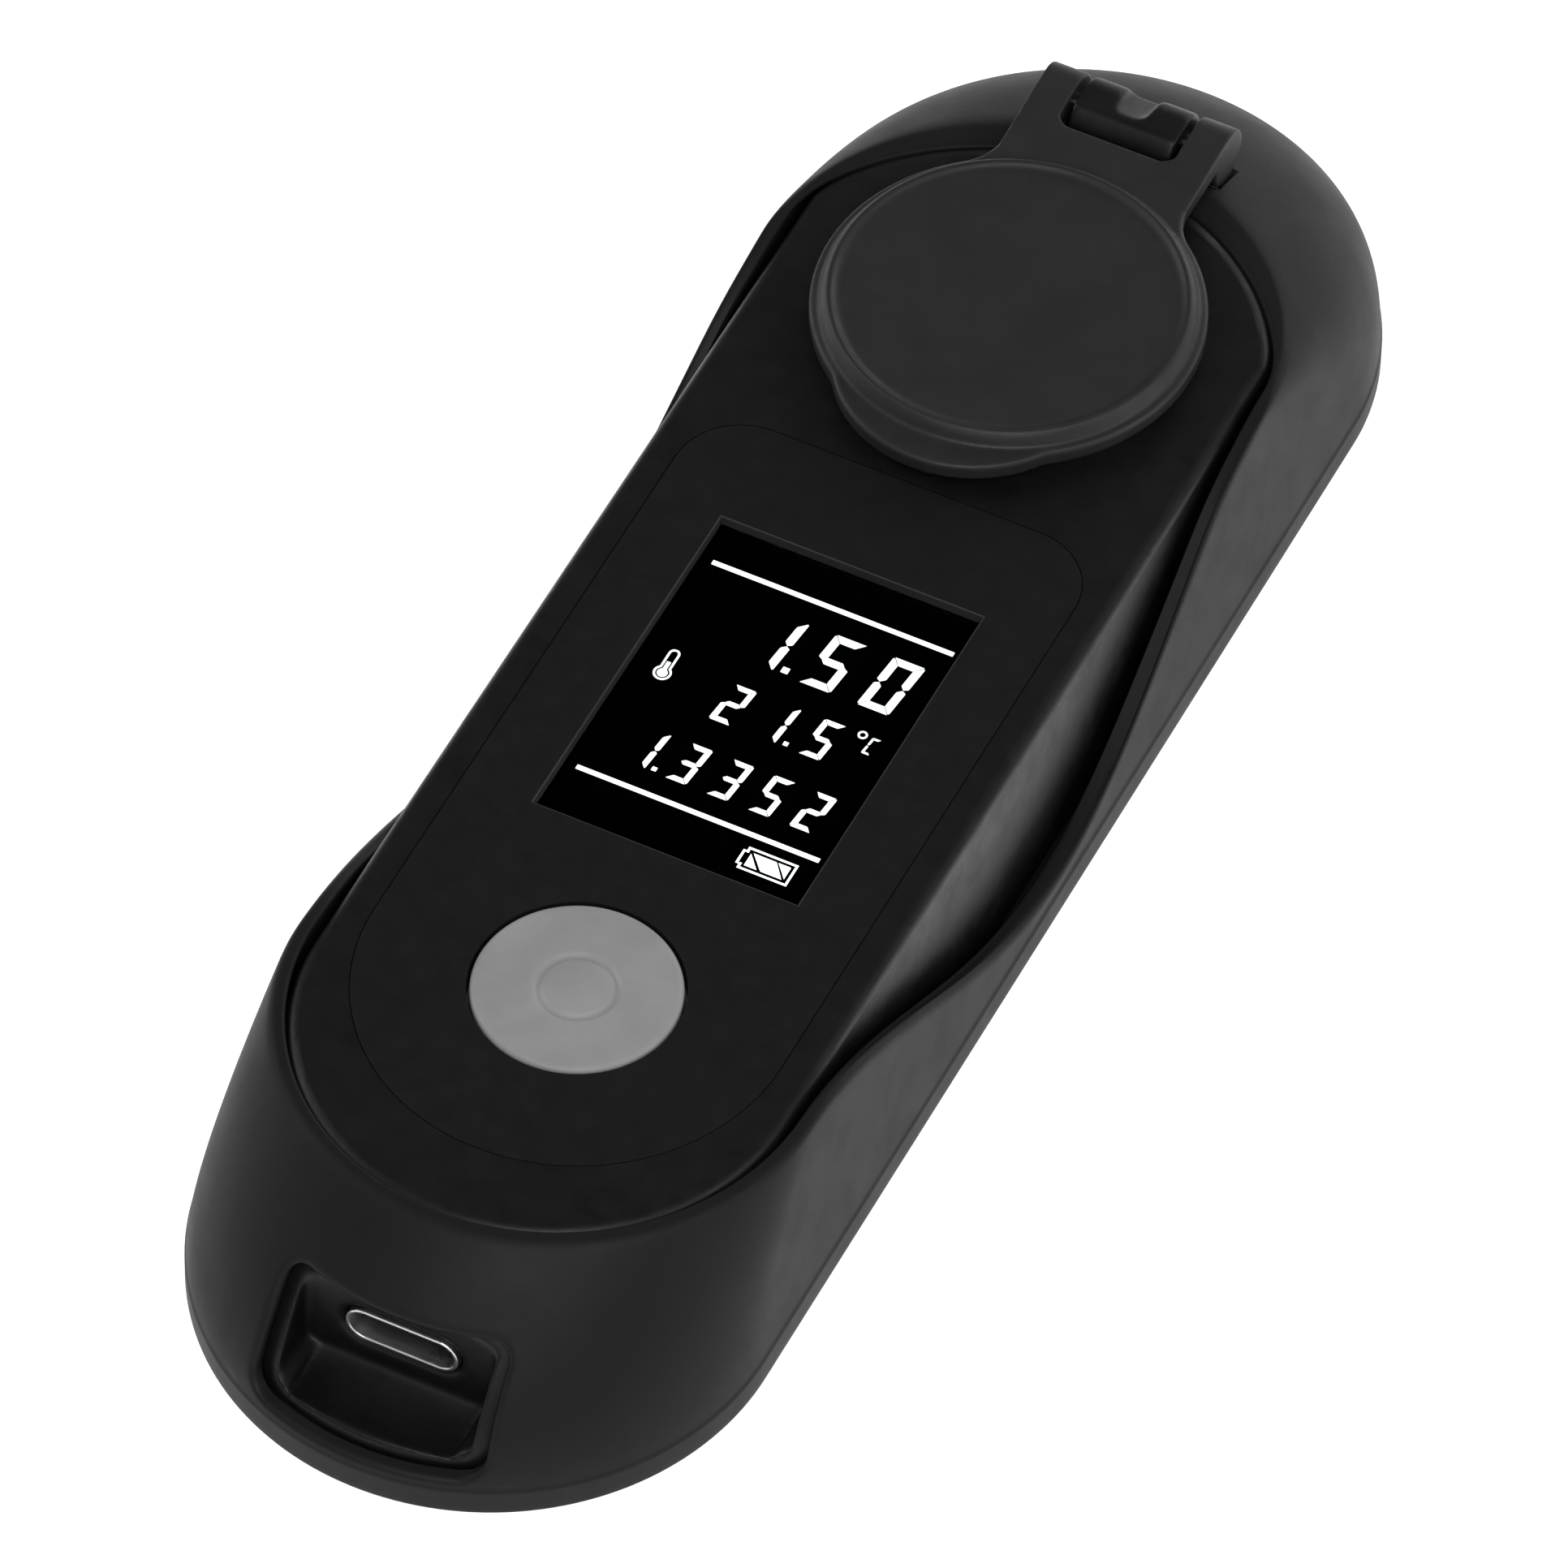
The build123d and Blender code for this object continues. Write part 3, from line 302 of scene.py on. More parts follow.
finishes = {
    "boot_rubber": dict(
        colour=(0.0110, 0.0110, 0.0114), rough=0.50, specular=0.15, vary=0.06, grain=3800,
        bump=0.06, cloud=70, rough_vary=0.03,
    ),
    "housing_plastic": dict(
        colour=(0.0056, 0.0056, 0.0059), rough=0.42, specular=0.27, grain=5200, bump=0.06,
        cloud=120,
    ),
    "label_film": dict(
        colour=(0.0085, 0.0085, 0.0089), rough=0.42, specular=0.22, vary=0.04, grain=7000,
        bump=0.03, cloud=160,
    ),
    "lid_plastic": dict(
        colour=(0.0190, 0.0190, 0.0195), rough=0.48, specular=0.36, vary=0.05, grain=5200,
        bump=0.08, cloud=110,
    ),
    "window_clear": dict(
        colour=(0.9, 0.92, 0.92), rough=0.04, specular=0.1, vary=0.01, bump=0.0,
        rough_vary=0.01, transmission=1.0, ior=1.04,
    ),
    "display_black": dict(
        colour=(0.0002, 0.0002, 0.0003), rough=0.5, specular=0.0, bump=0.0,
    ),
    "light_guide": dict(colour=(0.8, 0.82, 0.8), rough=0.3),
    "frame_plastic": dict(colour=(0.035, 0.035, 0.036), rough=0.5, specular=0.3),
    "flex_amber": dict(colour=(0.45, 0.2, 0.04), rough=0.3, coat=0.4),
    "socket_ivory": dict(colour=(0.7, 0.66, 0.55), rough=0.45),
    "button_silicone": dict(
        colour=(0.33, 0.33, 0.33), rough=0.42, specular=0.35, vary=0.07, grain=4200,
        bump=0.03, cloud=150, subsurface=0.25,
    ),
    "switch_plastic": dict(colour=(0.03, 0.03, 0.03), rough=0.4),
    "plunger_plastic": dict(colour=(0.5, 0.06, 0.05), rough=0.4),
    "board_green": dict(colour=(0.015, 0.12, 0.06), rough=0.3, coat=0.5),
    "chip_black": dict(colour=(0.02, 0.02, 0.022), rough=0.5),
    "bright_steel": dict(
        colour=(0.95, 0.95, 0.96), rough=0.3, metallic=1.0, vary=0.03, bump=0.01,
        rough_vary=0.04,
    ),
    "screw_steel": dict(colour=(0.55, 0.55, 0.56), rough=0.35, metallic=1.0),
    "well_steel": dict(colour=(0.6, 0.6, 0.61), rough=0.24, metallic=1.0, vary=0.05, bump=0.03),
    "pin_steel": dict(colour=(0.5, 0.5, 0.51), rough=0.3, metallic=1.0),
    "ring_brass": dict(colour=(0.62, 0.45, 0.2), rough=0.3, metallic=1.0),
    "prism_glass": dict(
        colour=(0.92, 0.95, 0.96), rough=0.03, vary=0.01, bump=0.0, rough_vary=0.01,
        transmission=1.0,
    ),
    "lens_glass": dict(
        colour=(0.9, 0.94, 0.96), rough=0.03, vary=0.01, bump=0.0, rough_vary=0.01,
        transmission=1.0,
    ),
    "seal_rubber": dict(colour=(0.02, 0.02, 0.02), rough=0.6),
    "block_black": dict(colour=(0.015, 0.015, 0.016), rough=0.4, metallic=0.3),
    "lamp_resin": dict(colour=(0.75, 0.6, 0.2), rough=0.1, transmission=0.6),
    "sensor_ceramic": dict(colour=(0.12, 0.11, 0.11), rough=0.6),
    "probe_resin": dict(colour=(0.03, 0.03, 0.035), rough=0.3),
    "battery_wrap": dict(colour=(0.45, 0.46, 0.48), rough=0.35, metallic=0.6),
    "pad_foam": dict(colour=(0.75, 0.75, 0.72), rough=0.8, bump=0.3, grain=900),
    "lead_red": dict(colour=(0.5, 0.02, 0.02), rough=0.4),
    "contact_plastic": dict(colour=(0.02, 0.02, 0.02), rough=0.4),
}
materials = {name: moulded(name, **finish) for name, finish in finishes.items()}
marks_white = lit_marks("marks_white")

slots = {part["node"]: part["material_slot"] for part in frame["record"]["subparts"]}
for node, obj in frame["nodes"].items():
    set_finish(obj, materials[slots[node]])


# The boot: outlines, heights and the dip at the grip

# An outline is its half width, and how far forward and back it reaches
boot_top = (20.4, -59.15, 54.6)
boot_base = (boot_high.x, boot_low.y, boot_high.y)
hollow_top = (19.3, -58.05, 51.75)
hollow_base = (20.3, -69.85, 69.5)
# How strongly the flare is bent at the nose and at the tail
nose_power = 1.6
tail_power = 2.5
# The hollow's rear is an arc with a radius of this many half widths, between two shoulders
tail_bow = 1.09
shoulder_radius = 9.0
# The flare ends at the top of a vertical band, and the hollow at the floor
boot_band = 2.5
boot_floor = 1.4
dip_centre = -1.5
dip_half_length = 40.0
dip_depth = 13.4
dip_soft = 0.25

# The columns of points round the boot, and how often a rim's height is worked out anew
side_columns = 96
rear_columns = 84
nose_columns = 84
rim_rounds = 6

# The rows of points from the foot up: the foot's edge, the band with its crease, and the wall
foot_round = 0.45
foot_steps = 5
band_step = 0.1
band_rows = (
    (1.1, 0.0),
    (1.8, 0.0),
    (2.2, 0.0),
    (2.36, 0.0),
    (2.44, 0.08),
    (2.54, 0.35),
    (2.66, 0.72),
    (2.8, 1.0),
)
wall_start = 3.0
wall_rows = 30

# Over the rim and down inside
lip_round = 0.55
lip_steps = 7
crown_shares = (0.33, 0.66, 1.0)
lip_inner_round = 0.3
lip_inner_steps = 4
inner_foot_rows = (2.0, boot_floor)


def between(top, base, z):
    """The outline at a height of the flare."""
    share = min(max((face_z - z) / (face_z - boot_band), 0), 1)
    nose = 1 - (1 - share) ** nose_power
    tail = 1 - (1 - share) ** tail_power
    return (
        top[0] + (base[0] - top[0]) * share,
        top[1] + (base[1] - top[1]) * nose,
        top[2] + (base[2] - top[2]) * tail,
    )


def rounded_plan(outline, part, value):
    """A point of the stadium: straight sides and half circles, by its part and place on it."""
    w, front, rear = outline
    if part == "right":
        return w, front + w + value * (rear - front - 2 * w)
    if part == "left":
        return -w, rear - w - value * (rear - front - 2 * w)
    middle = rear - w if part == "rear" else front + w
    return w * cos(value), middle + w * sin(value)


def shouldered_plan(outline, part, value):
    """The same for the inside, whose rear is a flatter arc with two shoulders."""
    w, front, rear = outline
    bow = w * tail_bow
    bow_y = rear - bow
    corner_x = w - shoulder_radius
    corner_y = bow_y + sqrt((bow - shoulder_radius) ** 2 - corner_x**2)
    turn = atan2(corner_y - bow_y, corner_x)
    if part == "right":
        return w, front + w + value * (corner_y - front - w)
    if part == "left":
        return -w, corner_y - value * (corner_y - front - w)
    if part == "nose":
        return w * cos(value), front + w + w * sin(value)
    if value < turn:
        return corner_x + shoulder_radius * cos(value), corner_y + shoulder_radius * sin(value)
    if value > pi - turn:
        return -corner_x + shoulder_radius * cos(value), corner_y + shoulder_radius * sin(value)
    return bow * cos(value), bow_y + bow * sin(value)


def rim_height(y):
    """The height of the boot's rim, which dips where the fingers grip."""
    if abs(y - dip_centre) >= dip_half_length:
        return face_z
    drop = dip_depth * (1 + cos(pi * (y - dip_centre) / dip_half_length)) / 2
    return face_z - drop * drop / (drop + dip_soft)


def boot_columns():
    """Each column's part of the outline and its place on that part."""
    places = [("right", k / side_columns) for k in range(side_columns)]
    places += [("rear", pi * k / rear_columns) for k in range(rear_columns)]
    places += [("left", k / side_columns) for k in range(side_columns)]
    places += [("nose", pi + pi * k / nose_columns) for k in range(nose_columns)]
    return places


def outer_point(place, z, inset=0.0):
    w, front, rear = between(boot_top, boot_base, z)
    return rounded_plan((w - inset, front + inset, rear - inset), *place)


def inner_point(place, z):
    return shouldered_plan(between(hollow_top, hollow_base, z), *place)


def rim_at(point, place):
    """The rim's height at a place, found from the wall's own lean there."""
    z = face_z
    for _ in range(rim_rounds):
        z = rim_height(point(place, z)[1])
    return z


def outer_lines(places, rims):
    """The boot's outside, from the foot to just below the rim."""
    lines = []
    for k in range(foot_steps + 1):
        a = pi / 2 * k / foot_steps
        inset = foot_round * (1 - sin(a))
        z = foot_round * (1 - cos(a))
        lines.append([(*outer_point(p, z, inset), z) for p in places])
    for z, share in band_rows:
        lines.append([(*outer_point(p, z, band_step * share), z) for p in places])
    for k in range(wall_rows):
        line = []
        for p, rim in zip(places, rims):
            z = wall_start + (rim - lip_round - wall_start) * k / (wall_rows - 1)
            line.append((*outer_point(p, z, band_step * (1 - k / (wall_rows - 1))), z))
        lines.append(line)
    return lines


def rim_lines(places, rims, inner_rims):
    """The rim: a rounded outer edge, a crown and a rounded inner edge."""
    lines = []
    for k in range(1, lip_steps + 1):
        t = k / lip_steps
        line = []
        for p, rim, inner_rim in zip(places, rims, inner_rims):
            foot = Vector((*outer_point(p, rim - lip_round), rim - lip_round))
            crest = Vector((*outer_point(p, rim), rim))
            inner = Vector((*inner_point(p, inner_rim), rim))
            top = crest + (inner - crest).normalized() * lip_round
            line.append(tuple(foot * (1 - t) ** 2 + crest * (2 * t * (1 - t)) + top * t**2))
        lines.append(line)
    spans = []
    for p, rim, inner_rim in zip(places, rims, inner_rims):
        outer = Vector(outer_point(p, rim))
        inner = Vector(inner_point(p, inner_rim))
        spans.append((outer, inner, (inner - outer).normalized()))
    for share in crown_shares:
        line = []
        for (outer, inner, way), rim, inner_rim in zip(spans, rims, inner_rims):
            start = outer + way * lip_round
            end = inner - way * lip_inner_round
            line.append((*start.lerp(end, share), rim + (inner_rim - rim) * share))
        lines.append(line)
    for k in range(1, lip_inner_steps + 1):
        a = pi / 2 * k / lip_inner_steps
        line = []
        for (outer, inner, way), inner_rim in zip(spans, inner_rims):
            spot = inner - way * lip_inner_round * (1 - sin(a))
            line.append((*spot, inner_rim - lip_inner_round * (1 - cos(a))))
        lines.append(line)
    return lines


def inner_lines(places, inner_rims):
    """The boot's inside, from below the rim to where the foot's rows start."""
    lines = []
    for k in range(1, wall_rows):
        line = []
        for p, rim in zip(places, inner_rims):
            z = rim - lip_inner_round
            z += (wall_start - rim + lip_inner_round) * k / (wall_rows - 1)
            line.append((*inner_point(p, z), z))
        lines.append(line)
    return lines


# The window in the boot round the charging socket's pocket. The mesh round it is a patch in the
# wall, as high as the rows that start less than the margin above the window.
window_floor = 3.4
window_top = 12.2
window_half_floor = 9.1
window_half_top = 8.7
window_corner = 1.6
window_roll = 0.8
window_floor_roll = 0.45
roll_steps = 6
patch_columns = 30
patch_margin = 2.2
patch_rings = 6


def nose_depth(top, base, x, z):
    """How far forward a nose surface lies at a place in the front view."""
    w, front, rear = between(top, base, z)
    return front + w - sqrt(w * w - x * x)


def outer_nose(x, z):
    """The same for the boot's outside, with the band's step."""
    lift = band_step * (1 - (z - wall_start) / (face_z - wall_start))
    return nose_depth(boot_top, boot_base, x, z) + lift


def inner_nose(x, z):
    return nose_depth(hollow_top, hollow_base, x, z)


def turned(way, turn):
    return Vector((way.x * cos(turn) - way.y * sin(turn), way.x * sin(turn) + way.y * cos(turn)))


def window_side(side, count):
    """One side of the window's edge from mid corner to mid corner, by count points.

    Each point comes with its outward direction and the size of its roll.
    """
    corners = [
        Vector((-window_half_floor, window_floor)),
        Vector((window_half_floor, window_floor)),
        Vector((window_half_top, window_top)),
        Vector((-window_half_top, window_top)),
    ]
    a = corners[side]
    b = corners[(side + 1) % 4]
    along = (b - a).normalized()
    before = (a - corners[side - 1]).normalized()
    after = (corners[(side + 2) % 4] - b).normalized()
    out = Vector((along.y, -along.x))
    start_turn = Vector((before.y, -before.x)).angle(out) / 2
    end_turn = out.angle(Vector((after.y, -after.x))) / 2
    start = a + along * window_corner * tan(start_turn)
    end = b - along * window_corner * tan(end_turn)
    straight = (end - start).length
    start_arc = window_corner * start_turn
    total = start_arc + straight + window_corner * end_turn
    points = []
    for k in range(count):
        s = total * k / count
        if s < start_arc:
            way = turned(out, (s - start_arc) / window_corner)
            point = start - out * window_corner + way * window_corner
        elif s < start_arc + straight:
            way = out
            point = start + along * (s - start_arc)
        else:
            way = turned(out, (s - start_arc - straight) / window_corner)
            point = end - out * window_corner + way * window_corner
        share = min(max(-way.y, 0), 1)
        points.append((point, way, window_roll + (window_floor_roll - window_roll) * share))
    return points


class Skin:
    """Points in closed loops, and the faces between the loops."""

    def __init__(self):
        self.verts = []
        self.faces = []

    def loop(self, points):
        """Adds a loop and gives its points' numbers."""
        start = len(self.verts)
        self.verts.extend(points)
        return list(range(start, start + len(points)))

    def join(self, a, b, skip=()):
        """Faces between two loops with as many points, except at the columns to skip."""
        size = len(a)
        for k in range(size):
            n = (k + 1) % size
            if k not in skip:
                self.faces.append((a[k], a[n], b[n], b[k]))


def patch_border(rows, low, high, left, right):
    """The patch's border, from its low left corner round by the right."""
    step = 1 if high > low else -1
    up = list(range(low, high + step, step))
    border = [rows[low][c] for c in range(left, right)]
    border += [rows[r][right] for r in up[:-1]]
    border += [rows[high][c] for c in range(right, left, -1)]
    border += [rows[r][left] for r in reversed(up[1:])]
    return border


def add_patch(skin, border, edge, depth, rolled):
    """Rings from a patch's border in to the window's edge, or to where its roll starts."""
    corners = [skin.verts[v] for v in border]
    previous = border
    for k in range(1, patch_rings + 1):
        share = k / patch_rings
        points = []
        for (point, way, roll), corner in zip(edge, corners):
            grow = roll if rolled else 0.0
            x = corner[0] + (point.x + way.x * grow - corner[0]) * share
            z = corner[2] + (point.y + way.y * grow - corner[2]) * share
            points.append((x, depth(x, z), z))
        current = skin.loop(points)
        skin.join(previous, current)
        previous = current
    return previous


def add_roll(skin, previous, edge):
    """The rolled edge from the outside into the window."""
    for k in range(1, roll_steps + 1):
        a = pi / 2 * k / roll_steps
        points = []
        for point, way, roll in edge:
            x = point.x + way.x * roll * (1 - sin(a))
            z = point.y + way.y * roll * (1 - sin(a))
            points.append((x, outer_nose(x, z) + roll * (1 - cos(a)), z))
        current = skin.loop(points)
        skin.join(previous, current)
        previous = current
    return previous


# The room in the boot for the lid's barrels, and for the hinge's knuckle between them
barrel_room_radius = 2.65
barrel_room_half_length = 7.95
knuckle_room = (-4.6, 4.6, 51.0, 58.75, 13.75, 18.0)


def build_boot():
    places = boot_columns()
    rims = [rim_at(outer_point, p) for p in places]
    inner_rims = [rim_at(inner_point, p) for p in places]
    outside = outer_lines(places, rims)
    rim = rim_lines(places, rims, inner_rims)
    inside = inner_lines(places, inner_rims)
    foot = [[(*inner_point(p, z), z) for p in places] for z in inner_foot_rows]
    lines = outside + rim + inside + foot

    middle = 2 * side_columns + rear_columns + nose_columns // 2
    left = middle - patch_columns // 2
    right = middle + patch_columns // 2
    wall_end = len(outside)
    inside_start = wall_end + len(rim)
    low_rows = [r for r, line in enumerate(lines) if line[middle][2] < window_top + patch_margin]
    outer_rows = [r for r in low_rows if wall_end - wall_rows <= r < wall_end]
    inner_rows = [r for r in low_rows if inside_start <= r < inside_start + len(inside)]
    patch_rows = min(len(outer_rows), len(inner_rows))
    outer_rows = outer_rows[:patch_rows]
    inner_rows = inner_rows[-patch_rows:]

    skin = Skin()
    rows = [skin.loop(line) for line in lines]
    open_rows = outer_rows[:-1] + inner_rows[:-1]
    for r in range(len(rows) - 1):
        skin.join(rows[r], rows[r + 1], range(left, right) if r in open_rows else ())
    skin.faces.append(tuple(rows[0]))
    skin.faces.append(tuple(rows[-1]))

    edge = []
    for side, count in enumerate((patch_columns, patch_rows - 1, patch_columns, patch_rows - 1)):
        edge += window_side(side, count)
    border = patch_border(rows, outer_rows[0], outer_rows[-1], left, right)
    roll_start = add_patch(skin, border, edge, outer_nose, True)
    outer_edge = add_roll(skin, roll_start, edge)
    border = patch_border(rows, inner_rows[-1], inner_rows[0], left, right)
    inner_edge = add_patch(skin, border, edge, inner_nose, False)
    skin.join(outer_edge, inner_edge)

    boot = make_object("boot", skin.verts, skin.faces, "housing", "boot_rubber")
    barrel_room = rod_helper(barrel_room_radius, barrel_room_half_length, hinge_y, hinge_z)
    combine(boot, barrel_room, "DIFFERENCE")
    combine(boot, box_helper(*knuckle_room), "DIFFERENCE")
    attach(boot, "housing")
    sharpen(boot)
    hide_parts("rubber_boot")


build_boot()


# Pieces softened all round, as mouldings are


def copied(name, node, inside=None, outside=()):
    """A copy of a CAD piece: the share of it in one box, or what is left outside some boxes."""
    obj = add_object(name, frame["nodes"][node].data.copy())
    if inside:
        combine(obj, box_helper(*inside), "INTERSECT")
    for box in outside:
        combine(obj, box_helper(*box), "DIFFERENCE")
    return obj


def dress(obj, node, body, slot):
    """Lets a piece stand for a CAD node."""
    set_finish(obj, materials[slot])
    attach(obj, body)
    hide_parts(node)


smooth_strength = 0.5


def soften(obj, voxel, rounds):
    """Meshes a piece evenly and smooths it, so that its edges are rounded."""
    remesh = obj.modifiers.new("remesh", "REMESH")
    remesh.mode = "VOXEL"
    remesh.voxel_size = voxel * MM
    remesh.use_smooth_shade = True
    smooth = obj.modifiers.new("smooth", "SMOOTH")
    smooth.factor = smooth_strength
    smooth.iterations = rounds
    settle(obj)


lid = copied("lid", "sample_lid")
soften(lid, voxel=0.14, rounds=6)
dress(lid, "sample_lid", "lid", "lid_plastic")

# The housing's nose round the socket's pocket and the hinge's knuckle are softened, and the rest of
# it stays crisp. The joints between them lie under the boot.
nose_box = (-10.6, 10.6, boot_low.y, -60.4, 3.0, 14.4)
knuckle_box = (-4.3, 4.3, hinge_y - 4.2, hinge_y + 2.9, hinge_z - 3.6, hinge_z + 2.6)

nose = copied("housing_nose", "upper_housing", inside=nose_box)
soften(nose, voxel=0.16, rounds=26)
dress(nose, "upper_housing", "housing", "housing_plastic")

knuckle = copied("housing_knuckle", "upper_housing", inside=knuckle_box)
soften(knuckle, voxel=0.13, rounds=30)
dress(knuckle, "upper_housing", "housing", "housing_plastic")

socket = copied("socket_shell", "usb_shell")
soften(socket, voxel=0.07, rounds=4)
dress(socket, "usb_shell", "housing", "bright_steel")

shell = copied("housing_shell", "upper_housing", outside=(nose_box, knuckle_box))
dress(shell, "upper_housing", "housing", "housing_plastic")


# The button: a soft dome in a shallow groove, on a disc with a rounded edge and a flange below

disc_radius = 7.65
disc_z = face_z + 0.15
disc_rings = (4.2, 5.2, 6.2, 6.9)
dome_radius = 2.3
dome_rise = 0.3
dome_power = 0.8
dome_steps = 10
groove_width = 1.0
groove_depth = 0.22
groove_steps = 12
edge_round = 0.45
edge_steps = 6
flange_radius = disc_radius + 1.5
flange_top = face_z - 2.0
flange_floor = flange_top - 0.9
hollow_radius = 6.45
hollow_roof = flange_top + 0.3
stem_radius = 2.0


def button_profile():
    """Half of the button's section, from the dome's crown to the stem's foot."""
    points = []
    for k in range(dome_steps + 1):
        rise = dome_rise * cos(pi / 2 * k / dome_steps) ** dome_power
        points.append((dome_radius * k / dome_steps, disc_z + rise))
    for k in range(1, groove_steps + 1):
        share = k / groove_steps
        dip = groove_depth * sin(pi * share) ** 2
        points.append((dome_radius + groove_width * share, disc_z - dip))
    for radius in disc_rings:
        points.append((radius, disc_z))
    for k in range(edge_steps + 1):
        a = pi / 2 * k / edge_steps
        inset = edge_round * (1 - sin(a))
        points.append((disc_radius - inset, disc_z - edge_round * (1 - cos(a))))
    points += [
        (disc_radius, flange_top),
        (flange_radius, flange_top),
        (flange_radius, flange_floor),
        (hollow_radius, flange_floor),
        (hollow_radius, hollow_roof),
        (stem_radius, hollow_roof),
        (stem_radius, button_low.z),
        (0, button_low.z),
    ]
    return points


button = make_object("button", *revolve(button_profile(), button_y), "button", "button_silicone")
sharpen(button)
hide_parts("button_cap")


# The display: lit marks on the black panel

# The marks are laid out in a unit of their own, this many millimetres long, from a zero on the
# face's centre line and at this place along it
mark_unit = 1.05
mark_zero_y = -6.75
mark_z = glass_z + 0.012
mark_thickness = 0.02


class Marks:
    """Flat thin shapes, gathered into one piece."""

    def __init__(self):
        self.verts = []
        self.faces = []

    def polygon(self, points):
        start = len(self.verts)
        count = len(points)
        for z in (mark_z, mark_z - mark_thickness):
            for x, y in points:
                self.verts.append((x * mark_unit, y * mark_unit + mark_zero_y, z))
        self.faces.append(tuple(range(start, start + count)))
        self.faces.append(tuple(range(start + 2 * count - 1, start + count - 1, -1)))
        for k in range(count):
            n = (k + 1) % count
            self.faces.append((start + k, start + n, start + count + n, start + count + k))

    def box(self, x0, x1, y0, y1):
        self.polygon([(x0, y0), (x1, y0), (x1, y1), (x0, y1)])

    def ring(self, x, y, outer, inner, count, start=0.0, end=2 * pi):
        for k in range(count):
            a = start + (end - start) * k / count
            b = start + (end - start) * (k + 1) / count
            self.polygon(
                [
                    (x + inner * cos(a), y + inner * sin(a)),
                    (x + outer * cos(a), y + outer * sin(a)),
                    (x + outer * cos(b), y + outer * sin(b)),
                    (x + inner * cos(b), y + inner * sin(b)),
                ]
            )

    def disc(self, x, y, radius, count):
        turns = [2 * pi * k / count for k in range(count)]
        self.polygon([(x + radius * cos(a), y + radius * sin(a)) for a in turns])


# Which of its seven bars each sign lights. They are named in the order top, upper right, lower
# right, bottom, lower left, upper left and middle.
sign_bars = {
    "0": "abcdef",
    "1": "bc",
    "2": "abdeg",
    "3": "abcdg",
    "5": "acdfg",
    "C": "adef",
}

# Shares of a bar's thickness: how far the ends of its points are cut back
tip_cut = 0.12
corner_cut = 0.2
side_cut = 0.16
slope_cut = 0.1
waist_cut = 0.3


def seven_bars(marks, sign, x, y, width, height, bar, lean=0.1, gap=0.06):
    """One sign. x and y are its low left corner before it leans."""
    # The middle's height, the bar's thickness, half a gap and half a bar
    h = height / 2
    t = bar
    g = gap / 2
    c = t / 2
    tip = tip_cut * t + g
    upper_left = [
        (0, height - corner_cut * t - g),
        (0, h + waist_cut * t + g),
        (c, h + g),
        (t, h + t / 2 + g),
        (t, height - t - g),
        (side_cut * t, height - slope_cut * t - g),
    ]
    lower_left = [
        (0, corner_cut * t + g),
        (side_cut * t, slope_cut * t + g),
        (t, t + g),
        (t, h - t / 2 - g),
        (c, h - g),
        (0, h - waist_cut * t - g),
    ]
    middle = [
        (c + g, h),
        (t + g, h + t / 2),
        (width - t - g, h + t / 2),
        (width - c - g, h),
        (width - t - g, h - t / 2),
        (t + g, h - t / 2),
    ]
    shapes = {
        "a": [(tip, height), (width - tip, height), (width - t - g, height - t), (t + g, height - t)],
        "b": [(width - px, py) for px, py in reversed(upper_left)],
        "c": [(width - px, py) for px, py in reversed(lower_left)],
        "d": [(tip, 0), (t + g, t), (width - t - g, t), (width - tip, 0)],
        "e": lower_left,
        "f": upper_left,
        "g": middle,
    }
    for name in sign_bars[sign]:
        marks.polygon([(x + px + lean * py, y + py) for px, py in shapes[name]])


# A row of digits: its text, right end, foot, pitch, digit width, digit height and bar
number_rows = (
    ("1.50", 7.78, 4.2, 4.44, 2.42, 4.94, 0.62),
    ("21.5", 5.36, -1.54, 3.42, 1.64, 3.54, 0.42),
    ("1.3352", 7.66, -7.62, 3.16, 1.62, 3.54, 0.42),
)
# A point: its place in the gap between two digits, and its height and size in bars
point_place = 0.40
point_height = 0.72
point_size = 0.85


def number_row(marks, text, right, y, pitch, width, height, bar):
    """A row of digits that ends at its right edge. A point stands before the digit after it."""
    x = right - width - pitch * (len(text) - 1 - text.count("."))
    half = bar * point_size / 2
    for sign in text:
        if sign == ".":
            px = x - pitch + width + point_place * (pitch - width)
            py = y + bar * point_height
            marks.box(px - half, px + half, py - half, py + half)
            continue
        seven_bars(marks, sign, x, y, width, height, bar)
        x += pitch


# A rule: its left end, right end and height
rules = ((-9.14, 9.4, 11.16), (-9.2, 9.3, -9.52))
rule_width = 0.4


def degrees_sign(marks):
    marks.ring(7.0, 1.86, outer=0.36, inner=0.21, count=28)
    seven_bars(marks, "C", 7.55, 0.4, width=0.66, height=1.56, bar=0.17, lean=0.12, gap=0.05)


def thermometer(marks):
    """A thermometer: a bulb in an open ring, and a tube with a round top and a column in it."""
    x = -7.74
    bulb_y = 0.64
    bulb_radius = 0.38
    ring_outer, ring_inner = 0.66, 0.5
    ring_start, ring_end = radians(118), radians(422)
    tube_outer, tube_inner = 0.42, 0.26
    tube_foot, tube_top = 1.2, 2.5
    column_half = 0.15
    column_foot, column_top = 0.8, 1.72
    marks.ring(x, bulb_y, ring_outer, ring_inner, 40, ring_start, ring_end)
    marks.disc(x, bulb_y, bulb_radius, 40)
    marks.ring(x, tube_top, tube_outer, tube_inner, 20, 0, pi)
    marks.box(x - tube_outer, x - tube_inner, tube_foot, tube_top)
    marks.box(x + tube_inner, x + tube_outer, tube_foot, tube_top)
    marks.box(x - column_half, x + column_half, column_foot, column_top)


